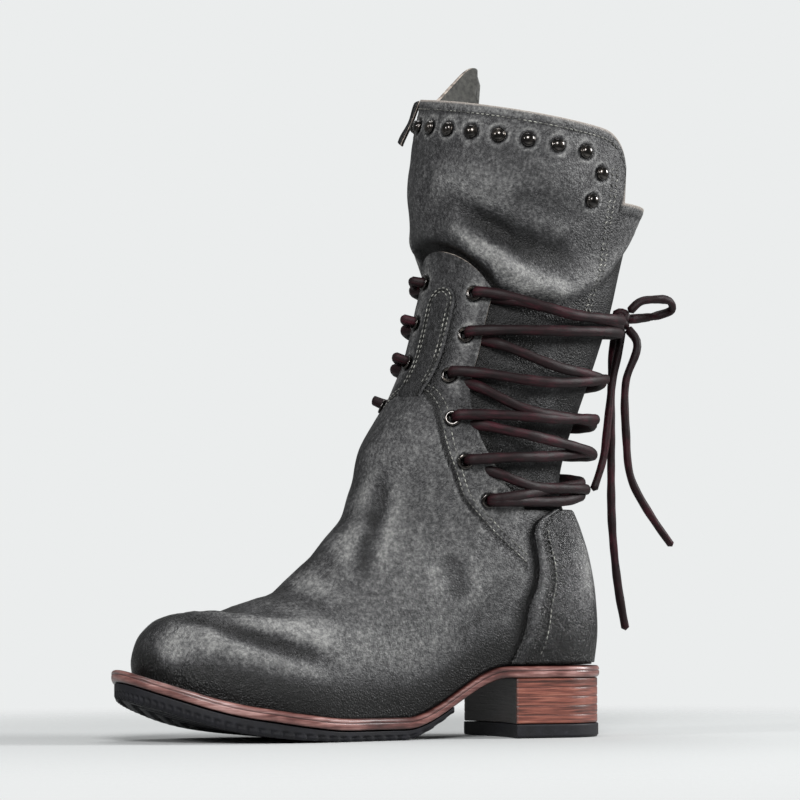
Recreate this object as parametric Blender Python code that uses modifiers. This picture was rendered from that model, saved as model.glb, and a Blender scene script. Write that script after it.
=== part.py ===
"""Back-laced mid-calf boot, left foot: leather upper and shaft on a stacked heel.

Every leather piece is cut from one surface, the outer face of the last: a table
of rings from the feather edge at the sole up to the collar. A ring is named by
its height at the back of the boot, and a place on it by an angle that starts at
the back, passes the outer side, the front (180 degrees) and the inner side.
Sizes are in millimetres; +X is the toe, +Y the outer side, +Z up, and the origin
is on the floor under the middle of the heel.
"""
import math

import bmesh
import bpy
import numpy as np
from mathutils import Matrix, Vector

MM = 0.001
GAP = 0.3

# Sole: heights of the midsole's top, and where its slope and toe spring start
SEAT_TOP = 37.0
BALL_TOP = 11.5
TOE_SPRING = 22.0
SLOPE_START, SLOPE_END = 31.0, 89.0
SPRING_START, SPRING_END = 150.0, 233.0
MIDSOLE = 6.0
INSOLE = 2.5
TOP_LIFT = 7.0
HALF_SOLE_BACK = 62.0
LUG_DEPTH = 3.0
BREAST_X, BREAST_HOLLOW = 27.0, 5.0

# Leather
WALL = 2.0
SHAFT_WALL = 1.8
OVERLAY, OVERLAY_GAP = 1.2, 0.75

# Upper: height of the back top line, front panel and its turn round the leg
TOP_LINE = 119.0
PANEL_TOP, PANEL_TILT, PANEL_CORNER_DROP, PANEL_CORNER_POWER = 251.0, 8.0, 12.5, 2.1
TURN, TURN_START, TURN_END = 20.0, 122.0, 196.0
PANEL_ROW_SHARES = np.array([0.08, 0.155, 0.23, 0.30, 0.375, 0.455, 0.56, 0.69, 0.84, 1.0])

# Shaft: tucked end, start and end of its swell over the panel, collar heights
SHAFT_FOOT = 105.0
SWELL_START, SWELL_END = 256.0, 266.0
NOTCH_RIM = 279.0
FLAP_FRONT_RIM, FLAP_SLOPE, FLAP_LEVEL, FLAP_INNER_RISE = 330.2, 17.0, 40.0, 34.0
FLAP_ANGLE, FLAP_CORNER, FLAP_INNER_CORNER, FLAP_RISE_START = 103.0, 18.0, 14.0, 66.0

# Metal trim and lace
EYELET_RADIUS, EYELET_WIRE = 3.2, 0.9
STUD_RADIUS, STUD_HIGH, STUD_BELOW_RIM = 3.5, 2.4, 14.5
STUD_PITCH, STUD_SHIFT = 15.0, -6.5
LACE_RADIUS = 2.2
STRAND_LIFT, EYELET_LIFT, STRAND_STEP, STRAND_LEAN = 2.9, 4.9, 0.4, 0.9
STAND_OFF, HOLLOW_STAND_OFF, HOLLOW_HEIGHT = 2.5, 9.0, 148.0

# Overlays on the front panel and the collar
STAY_HALF, STAY_FOOT, STAY_TOP, STAY_ARCH = 11.5, 182.0, 234.0, 12.0
TAB_ANGLE, TAB_HALF, TAB_HEIGHTS, TAB_THICK = 211.5, 2.8, (312.4, 337.4), 3.0

# Rings of the last, from the feather edge to above the collar.
# rear, waist and ball are half widths at the back, middle and front of the ring,
# the cap columns are the shares of its length that round off, drop is how much
# of the sole's curve the ring follows, and swing is how far its front leans in.
LAST_COLUMNS = ("z_back", "z_front", "x_back", "x_front", "rear", "waist_out", "waist_in",
                "ball_out", "ball_in", "cap_back", "cap_front", "drop", "swing")
LAST_ROWS = (
    (37.8, 29.6, -29.0, 221.0, 29.0, 28.0, 24.5, 41.0, 43.0, 0.12, 0.30, 1.00, -6.0),
    (48.0, 42.0, -30.0, 222.0, 30.5, 31.0, 28.5, 43.5, 45.5, 0.12, 0.30, 0.95, -6.0),
    (58.0, 54.5, -30.0, 217.0, 31.0, 33.0, 31.0, 42.5, 43.5, 0.12, 0.31, 0.82, -5.5),
    (68.0, 63.2, -29.5, 202.5, 31.0, 34.0, 32.5, 40.0, 39.5, 0.13, 0.34, 0.60, -4.0),
    (77.0, 65.8, -28.8, 175.0, 30.5, 34.5, 33.0, 36.5, 35.5, 0.15, 0.38, 0.40, -2.5),
    (86.0, 74.5, -27.5, 149.5, 30.0, 34.5, 33.5, 33.0, 32.0, 0.18, 0.42, 0.22, -1.5),
    (96.0, 91.0, -25.5, 130.0, 29.0, 34.5, 34.0, 31.5, 31.0, 0.22, 0.44, 0.10, -0.5),
    (108.0, 108.0, -21.5, 114.0, 28.5, 35.0, 34.5, 32.5, 32.0, 0.28, 0.45, 0.0, 0.0),
    (127.0, 127.0, -14.5, 104.5, 29.5, 36.5, 36.5, 35.0, 35.0, 0.38, 0.47, 0.0, 0.0),
    (150.0, 150.0, -18.0, 98.5, 33.0, 38.5, 38.0, 38.0, 37.5, 0.45, 0.48, 0.0, 0.0),
    (170.0, 170.0, -25.0, 86.0, 37.0, 40.5, 39.5, 40.0, 39.0, 0.48, 0.49, 0.0, 0.0),
    (190.0, 190.0, -32.0, 76.0, 41.0, 42.5, 41.0, 42.5, 41.0, 0.50, 0.50, 0.0, 0.0),
    (220.0, 220.0, -42.0, 67.5, 44.5, 44.5, 43.5, 44.5, 43.5, 0.50, 0.50, 0.0, 0.0),
    (250.0, 250.0, -49.5, 62.5, 46.0, 46.0, 45.0, 46.0, 45.0, 0.50, 0.50, 0.0, 0.0),
    (265.0, 265.0, -53.0, 65.5, 49.0, 49.0, 48.5, 49.0, 48.5, 0.50, 0.50, 0.0, 0.0),
    (285.0, 285.0, -58.0, 69.5, 54.0, 54.0, 54.0, 54.0, 54.0, 0.50, 0.50, 0.0, 0.0),
    (305.0, 305.0, -59.0, 67.5, 54.5, 54.5, 54.5, 54.5, 54.5, 0.50, 0.50, 0.0, 0.0),
    (325.0, 325.0, -58.5, 63.5, 54.5, 54.5, 54.5, 54.5, 54.5, 0.50, 0.50, 0.0, 0.0),
    (355.0, 355.0, -58.0, 58.0, 54.5, 54.5, 54.5, 54.5, 54.5, 0.50, 0.50, 0.0, 0.0),
    (385.0, 385.0, -57.5, 54.0, 54.5, 54.5, 54.5, 54.5, 54.5, 0.50, 0.50, 0.0, 0.0),
)
LAST = {name: np.array(values) for name, values in zip(LAST_COLUMNS, zip(*LAST_ROWS))}

# Column angles from the back to the front, closest through the waist and at the toe
SIDE_ANGLES = np.array([0.0, 10.0, 20.0, 30.0, 40.0, 48.0, 56.0, 63.0, 70.0, 77.0, 84.0, 93.0, 103.0,
                        113.0, 122.0, 131.0, 139.0, 147.0, 155.0, 163.0, 171.5, 180.0])
PANEL_FIRST_ANGLE = 70.0

# Plan of the midsole, in the last's columns
WELT = dict(x_back=-33.0, x_front=233.0, rear=32.5, waist_out=31.5, waist_in=27.5,
            ball_out=46.0, ball_in=48.5, cap_back=0.12, cap_front=0.30, swing=-6.0)

# Half angle of the front panel at heights up its open edge
PANEL_EDGE_HEIGHTS = (119.0, 144.0, 155.0, 170.0, 181.0, 204.0, 230.0, 255.0)
PANEL_EDGE_ANGLES = (180.0 - PANEL_FIRST_ANGLE, 83.0, 68.5, 49.0, 38.6, 33.2, 33.0, 34.0)

# Eyelets, top to bottom: height and angle in from the panel's edge; the inner row sits higher
INNER_RAISE = 8.0
EYELETS = ((229.0, 11.0), (207.5, 10.0), (186.5, 14.0), (164.0, 12.5), (142.0, 15.5), (122.0, 17.0))

# Studs at the flap's rear corners: height and angle from the collar's middle
CORNER_STUDS = ((292.5, 86.0), (278.0, 82.0))

# Routes of the lace's free parts from the knot behind the shaft: x, y, z
KNOT_PLACE, KNOT_RADIUS = (-51.7, 0.0, 221.7), 5.5
LOOP_ROUTE = ((-61.9, 4.0, 231.7), (-69.5, 5.0, 233.0), (-80.0, 4.0, 232.5), (-84.0, -1.0, 228.5),
              (-77.8, -6.0, 225.5), (-67.9, -5.0, 223.7))
END_A_ROUTE = ((-51.9, -7.0, 211.7), (-50.0, -7.0, 190.0), (-49.5, -7.0, 150.0), (-50.0, -7.0, 110.0),
               (-54.0, -7.0, 75.0), (-58.0, -7.0, 55.0))
END_B_ROUTE = ((-56.9, 8.0, 210.7), (-51.0, 7.0, 188.0), (-51.0, 7.0, 160.0), (-54.0, 7.0, 136.0),
               (-64.0, 7.0, 119.0), (-70.0, 7.0, 111.0), (-79.0, 7.0, 100.0))

ROUNDNESS = 2.1


# Interpolation and the last's surface

def ease(t):
    """Smooth step from 0 to 1."""
    t = np.clip(t, 0.0, 1.0)
    return t * t * (3.0 - 2.0 * t)


def curve_through(knots, values, t):
    """Smooth curve through (knots, values): cubic with the mean slope at each knot."""
    knots, values = np.asarray(knots, float), np.asarray(values, float)
    slopes = np.gradient(values, knots)
    i = np.clip(np.searchsorted(knots, t) - 1, 0, len(knots) - 2)
    span = knots[i + 1] - knots[i]
    s = (t - knots[i]) / span
    start = (1 + 2 * s) * (1 - s) ** 2 * values[i] + s * (1 - s) ** 2 * span * slopes[i]
    end = s * s * (3 - 2 * s) * values[i + 1] + s * s * (s - 1) * span * slopes[i + 1]
    return start + end


def sole_top(x):
    """Height of the midsole's top: flat seat, slope through the waist, toe spring."""
    slope = (BALL_TOP - SEAT_TOP) * ease((x - SLOPE_START) / (SLOPE_END - SLOPE_START))
    spring = np.clip((x - SPRING_START) / (SPRING_END - SPRING_START), 0.0, 1.1)
    return SEAT_TOP + slope + TOE_SPRING * spring ** 2


def plan(ring, angle):
    """Plan point of a ring at an angle in degrees, and the share along its length."""
    turn = np.radians(angle)
    share = (1.0 - np.cos(turn)) / 2.0
    outer = np.sin(turn) >= 0.0
    waist = np.where(outer, ring["waist_out"], ring["waist_in"])
    ball = np.where(outer, ring["ball_out"], ring["ball_in"])
    half = ring["rear"] + (waist - ring["rear"]) * ease((share - 0.15) / 0.27)
    half = half + (ball - waist) * ease((share - 0.42) / 0.28)
    back = np.clip(1.0 - share / ring["cap_back"], 0.0, 1.0)
    front = np.clip(1.0 - (1.0 - share) / ring["cap_front"], 0.0, 1.0)
    half = half * ((1.0 - back ** ROUNDNESS) * (1.0 - front ** ROUNDNESS)) ** (1.0 / ROUNDNESS)
    x = ring["x_back"] + share * (ring["x_front"] - ring["x_back"])
    y = np.where(outer, half, -half) + ring["swing"] * share ** 2
    return x, y, share


def last_point(angle, height):
    """Point of the boot's outer face at an angle and a height at the back."""
    ring = {name: curve_through(LAST["z_back"], LAST[name], height) for name in LAST_COLUMNS}
    x, y, share = plan(ring, angle)
    level = height + share * (ring["z_front"] - height)
    line = SEAT_TOP + share * (sole_top(ring["x_front"]) - SEAT_TOP)
    return np.stack([x, y, level + ring["drop"] * (sole_top(x) - line)], axis=-1)


def last_normal(angle, height):
    """Outward direction of the boot's face."""
    step = 0.5
    along = last_point(angle + step, height) - last_point(angle - step, height)
    up = last_point(angle, height + step) - last_point(angle, height - step)
    normal = np.cross(up, along)
    return normal / np.linalg.norm(normal, axis=-1, keepdims=True)


def surface(angle, height, offset=0.0):
    """Point of the boot's outer face, moved outward by an offset."""
    angle, height = np.broadcast_arrays(np.asarray(angle, float), np.asarray(height, float))
    offset = np.asarray(offset, float)[..., None]
    return last_point(angle, height) + offset * last_normal(angle, height)


def panel_turn(height):
    """How far the front panel and the collar turn to the outer side at a height."""
    return TURN * ease((height - TURN_START) / (TURN_END - TURN_START))


def panel_edge(height):
    """Half angle from the panel's middle to its open edge at a height."""
    return curve_through(PANEL_EDGE_HEIGHTS, PANEL_EDGE_ANGLES, height)


# Objects

def new_collection(name):
    collection = bpy.data.collections.new(name)
    bpy.context.scene.collection.children.link(collection)
    return collection


def material(name, colour, roughness, metallic=0.0):
    made = bpy.data.materials.new(name)
    made.use_nodes = True
    shader = made.node_tree.nodes["Principled BSDF"]
    shader.inputs["Base Color"].default_value = (*colour, 1.0)
    shader.inputs["Roughness"].default_value = roughness
    shader.inputs["Metallic"].default_value = metallic
    return made


def add_object(name, mesh, finish, collection, smooth=True):
    made = bpy.data.objects.new(name, mesh)
    collection.objects.link(made)
    if finish:
        mesh.materials.append(finish)
    if smooth:
        mesh.shade_smooth()
        mesh.set_sharp_from_angle(angle=math.radians(40))
    return made


def grid_mesh(name, rows, closed):
    """Open sheet through rows of points, closed round on itself or not."""
    rows = np.asarray(rows) * MM
    count, across = rows.shape[:2]
    cells = across if closed else across - 1
    faces = []
    for i in range(count - 1):
        for j in range(cells):
            k = (j + 1) % across
            faces.append((i * across + j, (i + 1) * across + j, (i + 1) * across + k, i * across + k))
    mesh = bpy.data.meshes.new(name)
    mesh.from_pydata(rows.reshape(-1, 3).tolist(), [], faces)
    return mesh


def solidify(made, thickness, side):
    """Give a sheet its thickness, on its inner (-1) or outer (1) face."""
    wall = made.modifiers.new("wall", "SOLIDIFY")
    wall.thickness = thickness * MM
    wall.offset = side
    wall.use_even_offset = True
    return wall


def plate_mesh(name, loops):
    """Solid through stacked loops of points that pair across the plate's middle line."""
    loops = [np.asarray(loop) * MM for loop in loops]
    count = len(loops[0])
    work = bmesh.new()
    rings = [[work.verts.new(point) for point in loop] for loop in loops]
    for lower, upper in zip(rings, rings[1:]):
        for j in range(count):
            k = (j + 1) % count
            work.faces.new((lower[j], upper[j], upper[k], lower[k]))
    for ring in (rings[0], rings[-1]):
        for j in range(count // 2):
            pair = [ring[j], ring[j + 1], ring[-j - 1], ring[-j]]
            work.faces.new(list(dict.fromkeys(pair)))
    bmesh.ops.recalc_face_normals(work, faces=work.faces)
    mesh = bpy.data.meshes.new(name)
    work.to_mesh(mesh)
    work.free()
    return mesh


def ring_angles(side):
    """Angles of a whole ring from those of its outer side, back to front."""
    return np.concatenate([side, 360.0 - side[-2:0:-1]])


def plan_loop(ring, angles, inset, height):
    """Loop of a plan moved in by an inset, at a height given along its length."""
    x, y, _ = plan(ring, angles)
    ahead = np.stack(plan(ring, angles + 0.5)[:2]) - np.stack(plan(ring, angles - 0.5)[:2])
    out = np.stack([-ahead[1], ahead[0]]) / np.hypot(*ahead)
    x, y = x + inset * out[0], y + inset * out[1]
    return np.stack([x, y, height(x)], axis=-1)


def tube_mesh(name, points, radius, sides_quarter=1):
    """Round bar along points, as a closed mesh."""
    data = bpy.data.curves.new(name, "CURVE")
    data.dimensions = "3D"
    data.bevel_depth = radius * MM
    data.bevel_resolution = sides_quarter
    data.use_fill_caps = True
    spline = data.splines.new("POLY")
    spline.points.add(len(points) - 1)
    for knot, point in zip(spline.points, points):
        knot.co = (*(Vector(point) * MM), 1.0)
    guide = bpy.data.objects.new(name, data)
    bpy.context.scene.collection.objects.link(guide)
    bpy.context.view_layer.update()
    evaluated = guide.evaluated_get(bpy.context.evaluated_depsgraph_get())
    mesh = bpy.data.meshes.new_from_object(evaluated)
    bpy.data.objects.remove(guide)
    work = bmesh.new()
    work.from_mesh(mesh)
    bmesh.ops.remove_doubles(work, verts=work.verts, dist=0.00001)
    work.to_mesh(mesh)
    work.free()
    return mesh


def smooth_path(points, count):
    """Evenly spaced points on a smooth curve through a route's own points."""
    points = np.asarray(points, float)
    reach = np.concatenate([[0.0], np.cumsum(np.linalg.norm(np.diff(points, axis=0), axis=1))])
    fine = np.linspace(0.0, reach[-1], count)
    return np.stack([curve_through(reach, points[:, axis], fine) for axis in range(3)], axis=-1)


def seat_matrix(angle, height, offset):
    """Placement on the boot's face, with local Z pointing outward."""
    place = Vector(surface(angle, height, offset)) * MM
    outward = Vector(last_normal(np.float64(angle), np.float64(height)))
    return Matrix.Translation(place) @ outward.to_track_quat("Z", "Y").to_matrix().to_4x4()


# Scene start

for old in list(bpy.data.objects):
    bpy.data.objects.remove(old)
boot = new_collection("back_laced_boot")
cutters = new_collection("cutters")

leather = material("grey_leather", (0.045, 0.047, 0.044), 0.45)
soft_leather = material("grey_shaft_leather", (0.055, 0.057, 0.053), 0.55)
welt_leather = material("brown_sole_leather", (0.25, 0.09, 0.055), 0.5)
stack_leather = material("brown_stack_leather", (0.30, 0.11, 0.065), 0.5)
lining = material("insole_leather", (0.32, 0.22, 0.14), 0.7)
rubber = material("black_rubber", (0.008, 0.008, 0.011), 0.7)
nickel = material("dark_nickel", (0.10, 0.09, 0.08), 0.35, 1.0)
thong = material("lace_thong", (0.030, 0.012, 0.013), 0.5)


# Sole: half sole, midsole, heel and insole

def sole_bottom(x):
    return sole_top(x) - MIDSOLE


sole_angles = ring_angles(SIDE_ANGLES)
midsole_loops = [plan_loop(WELT, sole_angles, inset, height) for inset, height in (
    (-1.2, sole_bottom),
    (0.0, lambda x: sole_bottom(x) + 1.6),
    (0.0, lambda x: sole_top(x) - 1.6),
    (-1.2, sole_top),
)]
add_object("midsole", plate_mesh("midsole", midsole_loops), welt_leather, boot)

half_sole_start = math.degrees(math.acos(
    1.0 - 2.0 * (HALF_SOLE_BACK - WELT["x_back"]) / (WELT["x_front"] - WELT["x_back"])))


def half_sole_top(x):
    return sole_bottom(x) - 2 * GAP


def half_sole_bottom(x):
    """Floor side of the half sole: full thickness forward, a thin edge at the waist."""
    full = BALL_TOP - MIDSOLE - 2 * GAP
    thin = 3.0
    return half_sole_top(x) - thin - (full - thin) * ease((x - HALF_SOLE_BACK) / 32.0)


half_sole_angles = ring_angles(np.linspace(half_sole_start, 180.0, 29))
half_sole_angles = np.concatenate([half_sole_angles, [360.0 - half_sole_start]])
tooth = np.where(np.arange(len(half_sole_angles)) % 2 == 0, 0.0, -LUG_DEPTH)
half_sole_loops = [plan_loop(WELT, half_sole_angles, inset, height) for inset, height in (
    (tooth - 2.2, half_sole_bottom),
    (tooth - 1.4, lambda x: (half_sole_bottom(x) * 0.45 + half_sole_top(x) * 0.55)),
    (-1.4, lambda x: (half_sole_bottom(x) * 0.35 + half_sole_top(x) * 0.65)),
    (-1.4, half_sole_top),
)]
add_object("outsole", plate_mesh("outsole", half_sole_loops), rubber, boot)


def heel_loop(inset, height):
    """Heel outline: the plan's back, closed by a hollow breast."""
    breast = math.degrees(math.acos(
        1.0 - 2.0 * (BREAST_X - WELT["x_back"]) / (WELT["x_front"] - WELT["x_back"])))
    sides = np.linspace(-breast, breast, 25)
    loop = plan_loop(WELT, sides, inset, lambda x: np.full_like(x, height))
    start, end = loop[-1], loop[0]
    across = np.linspace(0.0, 1.0, 9)[1:-1]
    front = start + across[:, None] * (end - start)
    front[:, 0] -= BREAST_HOLLOW * (1.0 - (2.0 * across - 1.0) ** 2)
    return np.concatenate([loop, front])


def heel_mesh(name, levels):
    """Solid through heel outlines given as (inset, height)."""
    work = bmesh.new()
    rings = [[work.verts.new(Vector(point) * MM) for point in heel_loop(*level)] for level in levels]
    count = len(rings[0])
    for lower, upper in zip(rings, rings[1:]):
        for j in range(count):
            k = (j + 1) % count
            work.faces.new((lower[j], lower[k], upper[k], upper[j]))
    work.faces.new(rings[0][::-1])
    work.faces.new(rings[-1])
    bmesh.ops.recalc_face_normals(work, faces=work.faces)
    mesh = bpy.data.meshes.new(name)
    work.to_mesh(mesh)
    work.free()
    return mesh


stack_top = SEAT_TOP - MIDSOLE - GAP
stack_levels = ((-1.0, TOP_LIFT + GAP), (-1.2, stack_top))
add_object("heel_stack", heel_mesh("heel_stack", stack_levels), stack_leather, boot)
lift_levels = ((-1.4, 0.0), (-0.6, 0.8), (-0.6, TOP_LIFT))
add_object("heel_top_lift", heel_mesh("heel_top_lift", lift_levels), rubber, boot)

feather = {name: LAST[name][0] for name in LAST_COLUMNS}
insole_inset = -(WALL + 3 * GAP)
insole_loops = [plan_loop(feather, sole_angles, insole_inset, height) for height in (
    lambda x: sole_top(x) + 2.4 * GAP,
    lambda x: sole_top(x) + 2.4 * GAP + INSOLE,
)]
add_object("insole", plate_mesh("insole", insole_loops), lining, boot)


# Upper: a tube up to the back top line, and the front panel's columns above it

lower_heights = np.array([37.8, 42.5, 48.0, 54.0, 61.0, 68.0, 72.5, 77.0, 81.5, 86.0,
                          91.0, 98.0, 108.0, TOP_LINE])
round_angles = ring_angles(SIDE_ANGLES)
panel_columns = np.flatnonzero(np.abs(round_angles - 180.0) <= 180.0 - PANEL_FIRST_ANGLE)
panel_share = (round_angles[panel_columns] - 180.0) / (180.0 - PANEL_FIRST_ANGLE)


def upper_mesh():
    lower = surface(round_angles[None, :], lower_heights[:, None])
    top = PANEL_TOP + PANEL_TILT * panel_share - PANEL_CORNER_DROP * np.abs(panel_share) ** PANEL_CORNER_POWER
    heights = TOP_LINE + PANEL_ROW_SHARES[:, None] * (top - TOP_LINE)
    angles = 180.0 - panel_turn(heights) + panel_share * panel_edge(heights)
    upper = surface(angles, heights)
    around = round_angles.size
    lower_count = lower_heights.size * around
    width = panel_columns.size
    points = np.concatenate([lower.reshape(-1, 3), upper.reshape(-1, 3)]) * MM
    faces = []
    for i in range(lower_heights.size - 1):
        for j in range(around):
            k = (j + 1) % around
            below, above = i * around, (i + 1) * around
            faces.append((below + j, above + j, above + k, below + k))
    for i in range(PANEL_ROW_SHARES.size):
        for j in range(width - 1):
            above = lower_count + i * width
            below = above - width
            low = (below + j, below + j + 1)
            if i == 0:
                rim = lower_count - around + panel_columns[0]
                low = (rim + j, rim + j + 1)
            faces.append((low[0], above + j, above + j + 1, low[1]))
    mesh = bpy.data.meshes.new("upper")
    mesh.from_pydata(points.tolist(), [], faces)
    return mesh


upper = add_object("upper", upper_mesh(), leather, boot)
solidify(upper, WALL, -1.0)


# Shaft: a tube inside the upper that swells over the panel's top, with a notched collar

def collar_rim(angle):
    """Height of the collar: a sloping flap with a round rear corner on the outer side, a level one with
    a raised corner on the inner side, and a low back."""
    local = 180.0 - TURN - angle
    flap = FLAP_FRONT_RIM - FLAP_SLOPE * np.clip(local, -FLAP_LEVEL, FLAP_ANGLE) / FLAP_ANGLE
    rise = np.clip((-local - FLAP_RISE_START) / (FLAP_ANGLE - FLAP_RISE_START), 0.0, 1.0)
    flap = flap + FLAP_INNER_RISE * rise ** 1.25
    round_off = np.where(local > 0.0, FLAP_CORNER, FLAP_INNER_CORNER)
    near = np.clip(np.abs(local) - FLAP_ANGLE + round_off, 0.0, round_off)
    corner = round_off - np.sqrt(round_off ** 2 - near ** 2)
    return np.where(np.abs(local) <= FLAP_ANGLE + 0.01, flap - corner, NOTCH_RIM)


def shaft_offset(height):
    """Inside the upper below the panel's top, on the last's face above it."""
    inside = -(WALL + 3 * GAP)
    return inside * (1.0 - ease((height - SWELL_START) / (SWELL_END - SWELL_START)))


shaft_edges = 180.0 - TURN + FLAP_ANGLE * np.array([-1.0, 1.0])
shaft_angles = np.sort(np.concatenate([
    np.linspace(shaft_edges[0], shaft_edges[1], 20),
    np.linspace(shaft_edges[1] + 1.2, shaft_edges[0] + 360.0 - 1.2, 14)]))
shaft_heights = np.array([SHAFT_FOOT, 119.0, 130.0, 142.0, 155.0, 168.0, 184.0, 208.0, 232.0,
                          250.0, 257.0, 263.0, 269.0, NOTCH_RIM])
flap_rows = np.array([0.2, 0.6, 1.0])


def shaft_mesh():
    tube = surface(shaft_angles[None, :], shaft_heights[:, None], shaft_offset(shaft_heights)[:, None])
    rim = collar_rim(shaft_angles)
    heights = NOTCH_RIM + flap_rows[:, None] * (rim - NOTCH_RIM)
    flaps = surface(shaft_angles[None, :], heights, np.zeros_like(heights))
    rows = np.concatenate([tube, flaps])
    mesh = grid_mesh("shaft", rows, True)
    work = bmesh.new()
    work.from_mesh(mesh)
    bmesh.ops.remove_doubles(work, verts=work.verts, dist=0.00001)
    work.to_mesh(mesh)
    work.free()
    return mesh


shaft = add_object("shaft", shaft_mesh(), soft_leather, boot)
solidify(shaft, SHAFT_WALL, -1.0)


# Overlays cut from the same face: counter, front stay and the tab at the collar

def overlay(name, angles, heights, thickness, finish):
    """Piece of leather on the boot's face, through a grid of angles and heights."""
    sheet = grid_mesh(name, surface(angles, heights, np.full(np.shape(heights), OVERLAY_GAP)), False)
    made = add_object(name, sheet, finish, boot)
    solidify(made, thickness, 1.0)
    return made


counter_heights = np.array([39.0, 42.5, 48.0, 54.0, 61.0, 68.0, 77.0, 86.0, 98.0, 108.0, TOP_LINE - 1.0])
counter_heights = counter_heights[:, None]
counter_half = 56.0 + 6.0 * ease((counter_heights - 39.0) / 50.0)
counter_side = SIDE_ANGLES[SIDE_ANGLES < 50.0] + np.zeros_like(counter_heights)
counter_angles = np.concatenate([-counter_half, -counter_side[:, :0:-1], counter_side, counter_half], axis=1)
overlay("counter", counter_angles, counter_heights + np.zeros_like(counter_angles), OVERLAY, leather)

stay_share = np.linspace(-1.0, 1.0, 7)
stay_top = STAY_TOP - STAY_ARCH * (1.0 - np.sqrt(1.0 - 0.97 * stay_share ** 2))
stay_heights = STAY_FOOT + np.linspace(0.0, 1.0, 6)[:, None] * (stay_top - STAY_FOOT)
stay_angles = 180.0 - panel_turn(stay_heights) + stay_share * STAY_HALF
overlay("front_stay", stay_angles, stay_heights, OVERLAY, leather)

tab_heights = np.linspace(*TAB_HEIGHTS, 4)[:, None] + np.zeros(3)
overlay("collar_tab", TAB_ANGLE + np.linspace(-1.0, 1.0, 3) * TAB_HALF + 0.0 * tab_heights,
        tab_heights, TAB_THICK, leather)


# Eyelets in both edges of the front panel, and the holes under them

def eyelet_angle(height, inset, side):
    """Angle of an eyelet, on the outer (1) or the inner (-1) edge."""
    return 180.0 - panel_turn(height) - side * (panel_edge(height) - inset)


hole_mesh = bpy.data.meshes.new("eyelet_holes")
holes = bmesh.new()
bpy.ops.mesh.primitive_torus_add(
    major_radius=EYELET_RADIUS * MM, minor_radius=EYELET_WIRE * MM, major_segments=8, minor_segments=3)
eyelet_mesh = bpy.context.object.data
eyelet_mesh.materials.append(nickel)
bpy.data.objects.remove(bpy.context.object)
for side, side_name in ((1, "outer"), (-1, "inner")):
    for number, (height, inset) in enumerate(EYELETS, start=1):
        height = height if side > 0 else height + INNER_RAISE
        angle = eyelet_angle(height, inset, side)
        eyelet = add_object(f"eyelet_{side_name}_{number}", eyelet_mesh, None, boot)
        proud = 0.5 * ease((height - 230.0) / 6.0)
        eyelet.matrix_world = seat_matrix(angle, height, EYELET_WIRE + 1.2 * GAP + proud)
        bmesh.ops.create_cone(
            holes, cap_ends=True, segments=6, radius1=(EYELET_RADIUS - EYELET_WIRE) * MM,
            radius2=(EYELET_RADIUS - EYELET_WIRE) * MM, depth=4 * WALL * MM,
            matrix=seat_matrix(angle, height, -WALL / 2))
holes.to_mesh(hole_mesh)
holes.free()
hole_cutter = add_object("eyelet_holes", hole_mesh, None, cutters)
hole_cutter.hide_render = True
hole_cutter.display_type = "WIRE"
punch = upper.modifiers.new("eyelet holes", "BOOLEAN")
punch.operation = "DIFFERENCE"
punch.object = hole_cutter


# Studs along the collar and down the rear corners of its flaps

def stud_mesh():
    work = bmesh.new()
    bmesh.ops.create_uvsphere(work, u_segments=8, v_segments=4, radius=STUD_RADIUS * MM)
    cut = bmesh.ops.bisect_plane(
        work, geom=work.verts[:] + work.edges[:] + work.faces[:], plane_co=(0, 0, 0),
        plane_no=(0, 0, -1), clear_outer=True, dist=0.000001)
    rim = [item for item in cut["geom_cut"] if isinstance(item, bmesh.types.BMEdge)]
    bmesh.ops.contextual_create(work, geom=rim)
    bmesh.ops.scale(work, vec=(1.0, 1.0, STUD_HIGH / STUD_RADIUS), verts=work.verts)
    bmesh.ops.recalc_face_normals(work, faces=work.faces)
    mesh = bpy.data.meshes.new("stud")
    work.to_mesh(mesh)
    work.free()
    mesh.materials.append(nickel)
    return mesh


stud = stud_mesh()
top_locals = (np.arange(12) - 5.5) * STUD_PITCH + STUD_SHIFT
stud_places = [(180.0 - TURN - local, None) for local in top_locals]
stud_places += [(180.0 - TURN - side * local, height) for side in (1, -1) for height, local in CORNER_STUDS]
for number, (angle, height) in enumerate(stud_places, start=1):
    level = float(collar_rim(np.float64(angle))) - STUD_BELOW_RIM if height is None else height
    made = add_object(f"stud_{number:02d}", stud, None, boot)
    made.matrix_world = seat_matrix(angle, level, 1.5 * GAP)


# Lace: crossings round the back as one joined solid, then the knot, the loop and the ends

def strand_points(start, end, lean, lift):
    """Route of one strand from an outer to an inner eyelet, round the back of the shaft.

    At its eyelets the strand lies beside the one that it meets there.
    """
    half = np.array([0.0, 0.03, 0.07, 0.14, 0.25, 0.37, 0.5])
    share = np.concatenate([half, 1.0 - half[-2::-1]])
    angles = start[0] + share * (end[0] - 360.0 - start[0])
    heights = start[1] - lean + share * (end[1] - start[1] + 2.0 * lean)
    rise = ease(np.abs(share - 0.5) * 2.0 * 6.0 - 5.0)
    hollow = STAND_OFF + HOLLOW_STAND_OFF * np.exp(-((heights - HOLLOW_HEIGHT) / 30.0) ** 2)
    away = hollow * np.sin(np.pi * share) ** 4
    return surface(angles, heights, lift + away + (EYELET_LIFT - STRAND_LIFT) * rise)


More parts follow.
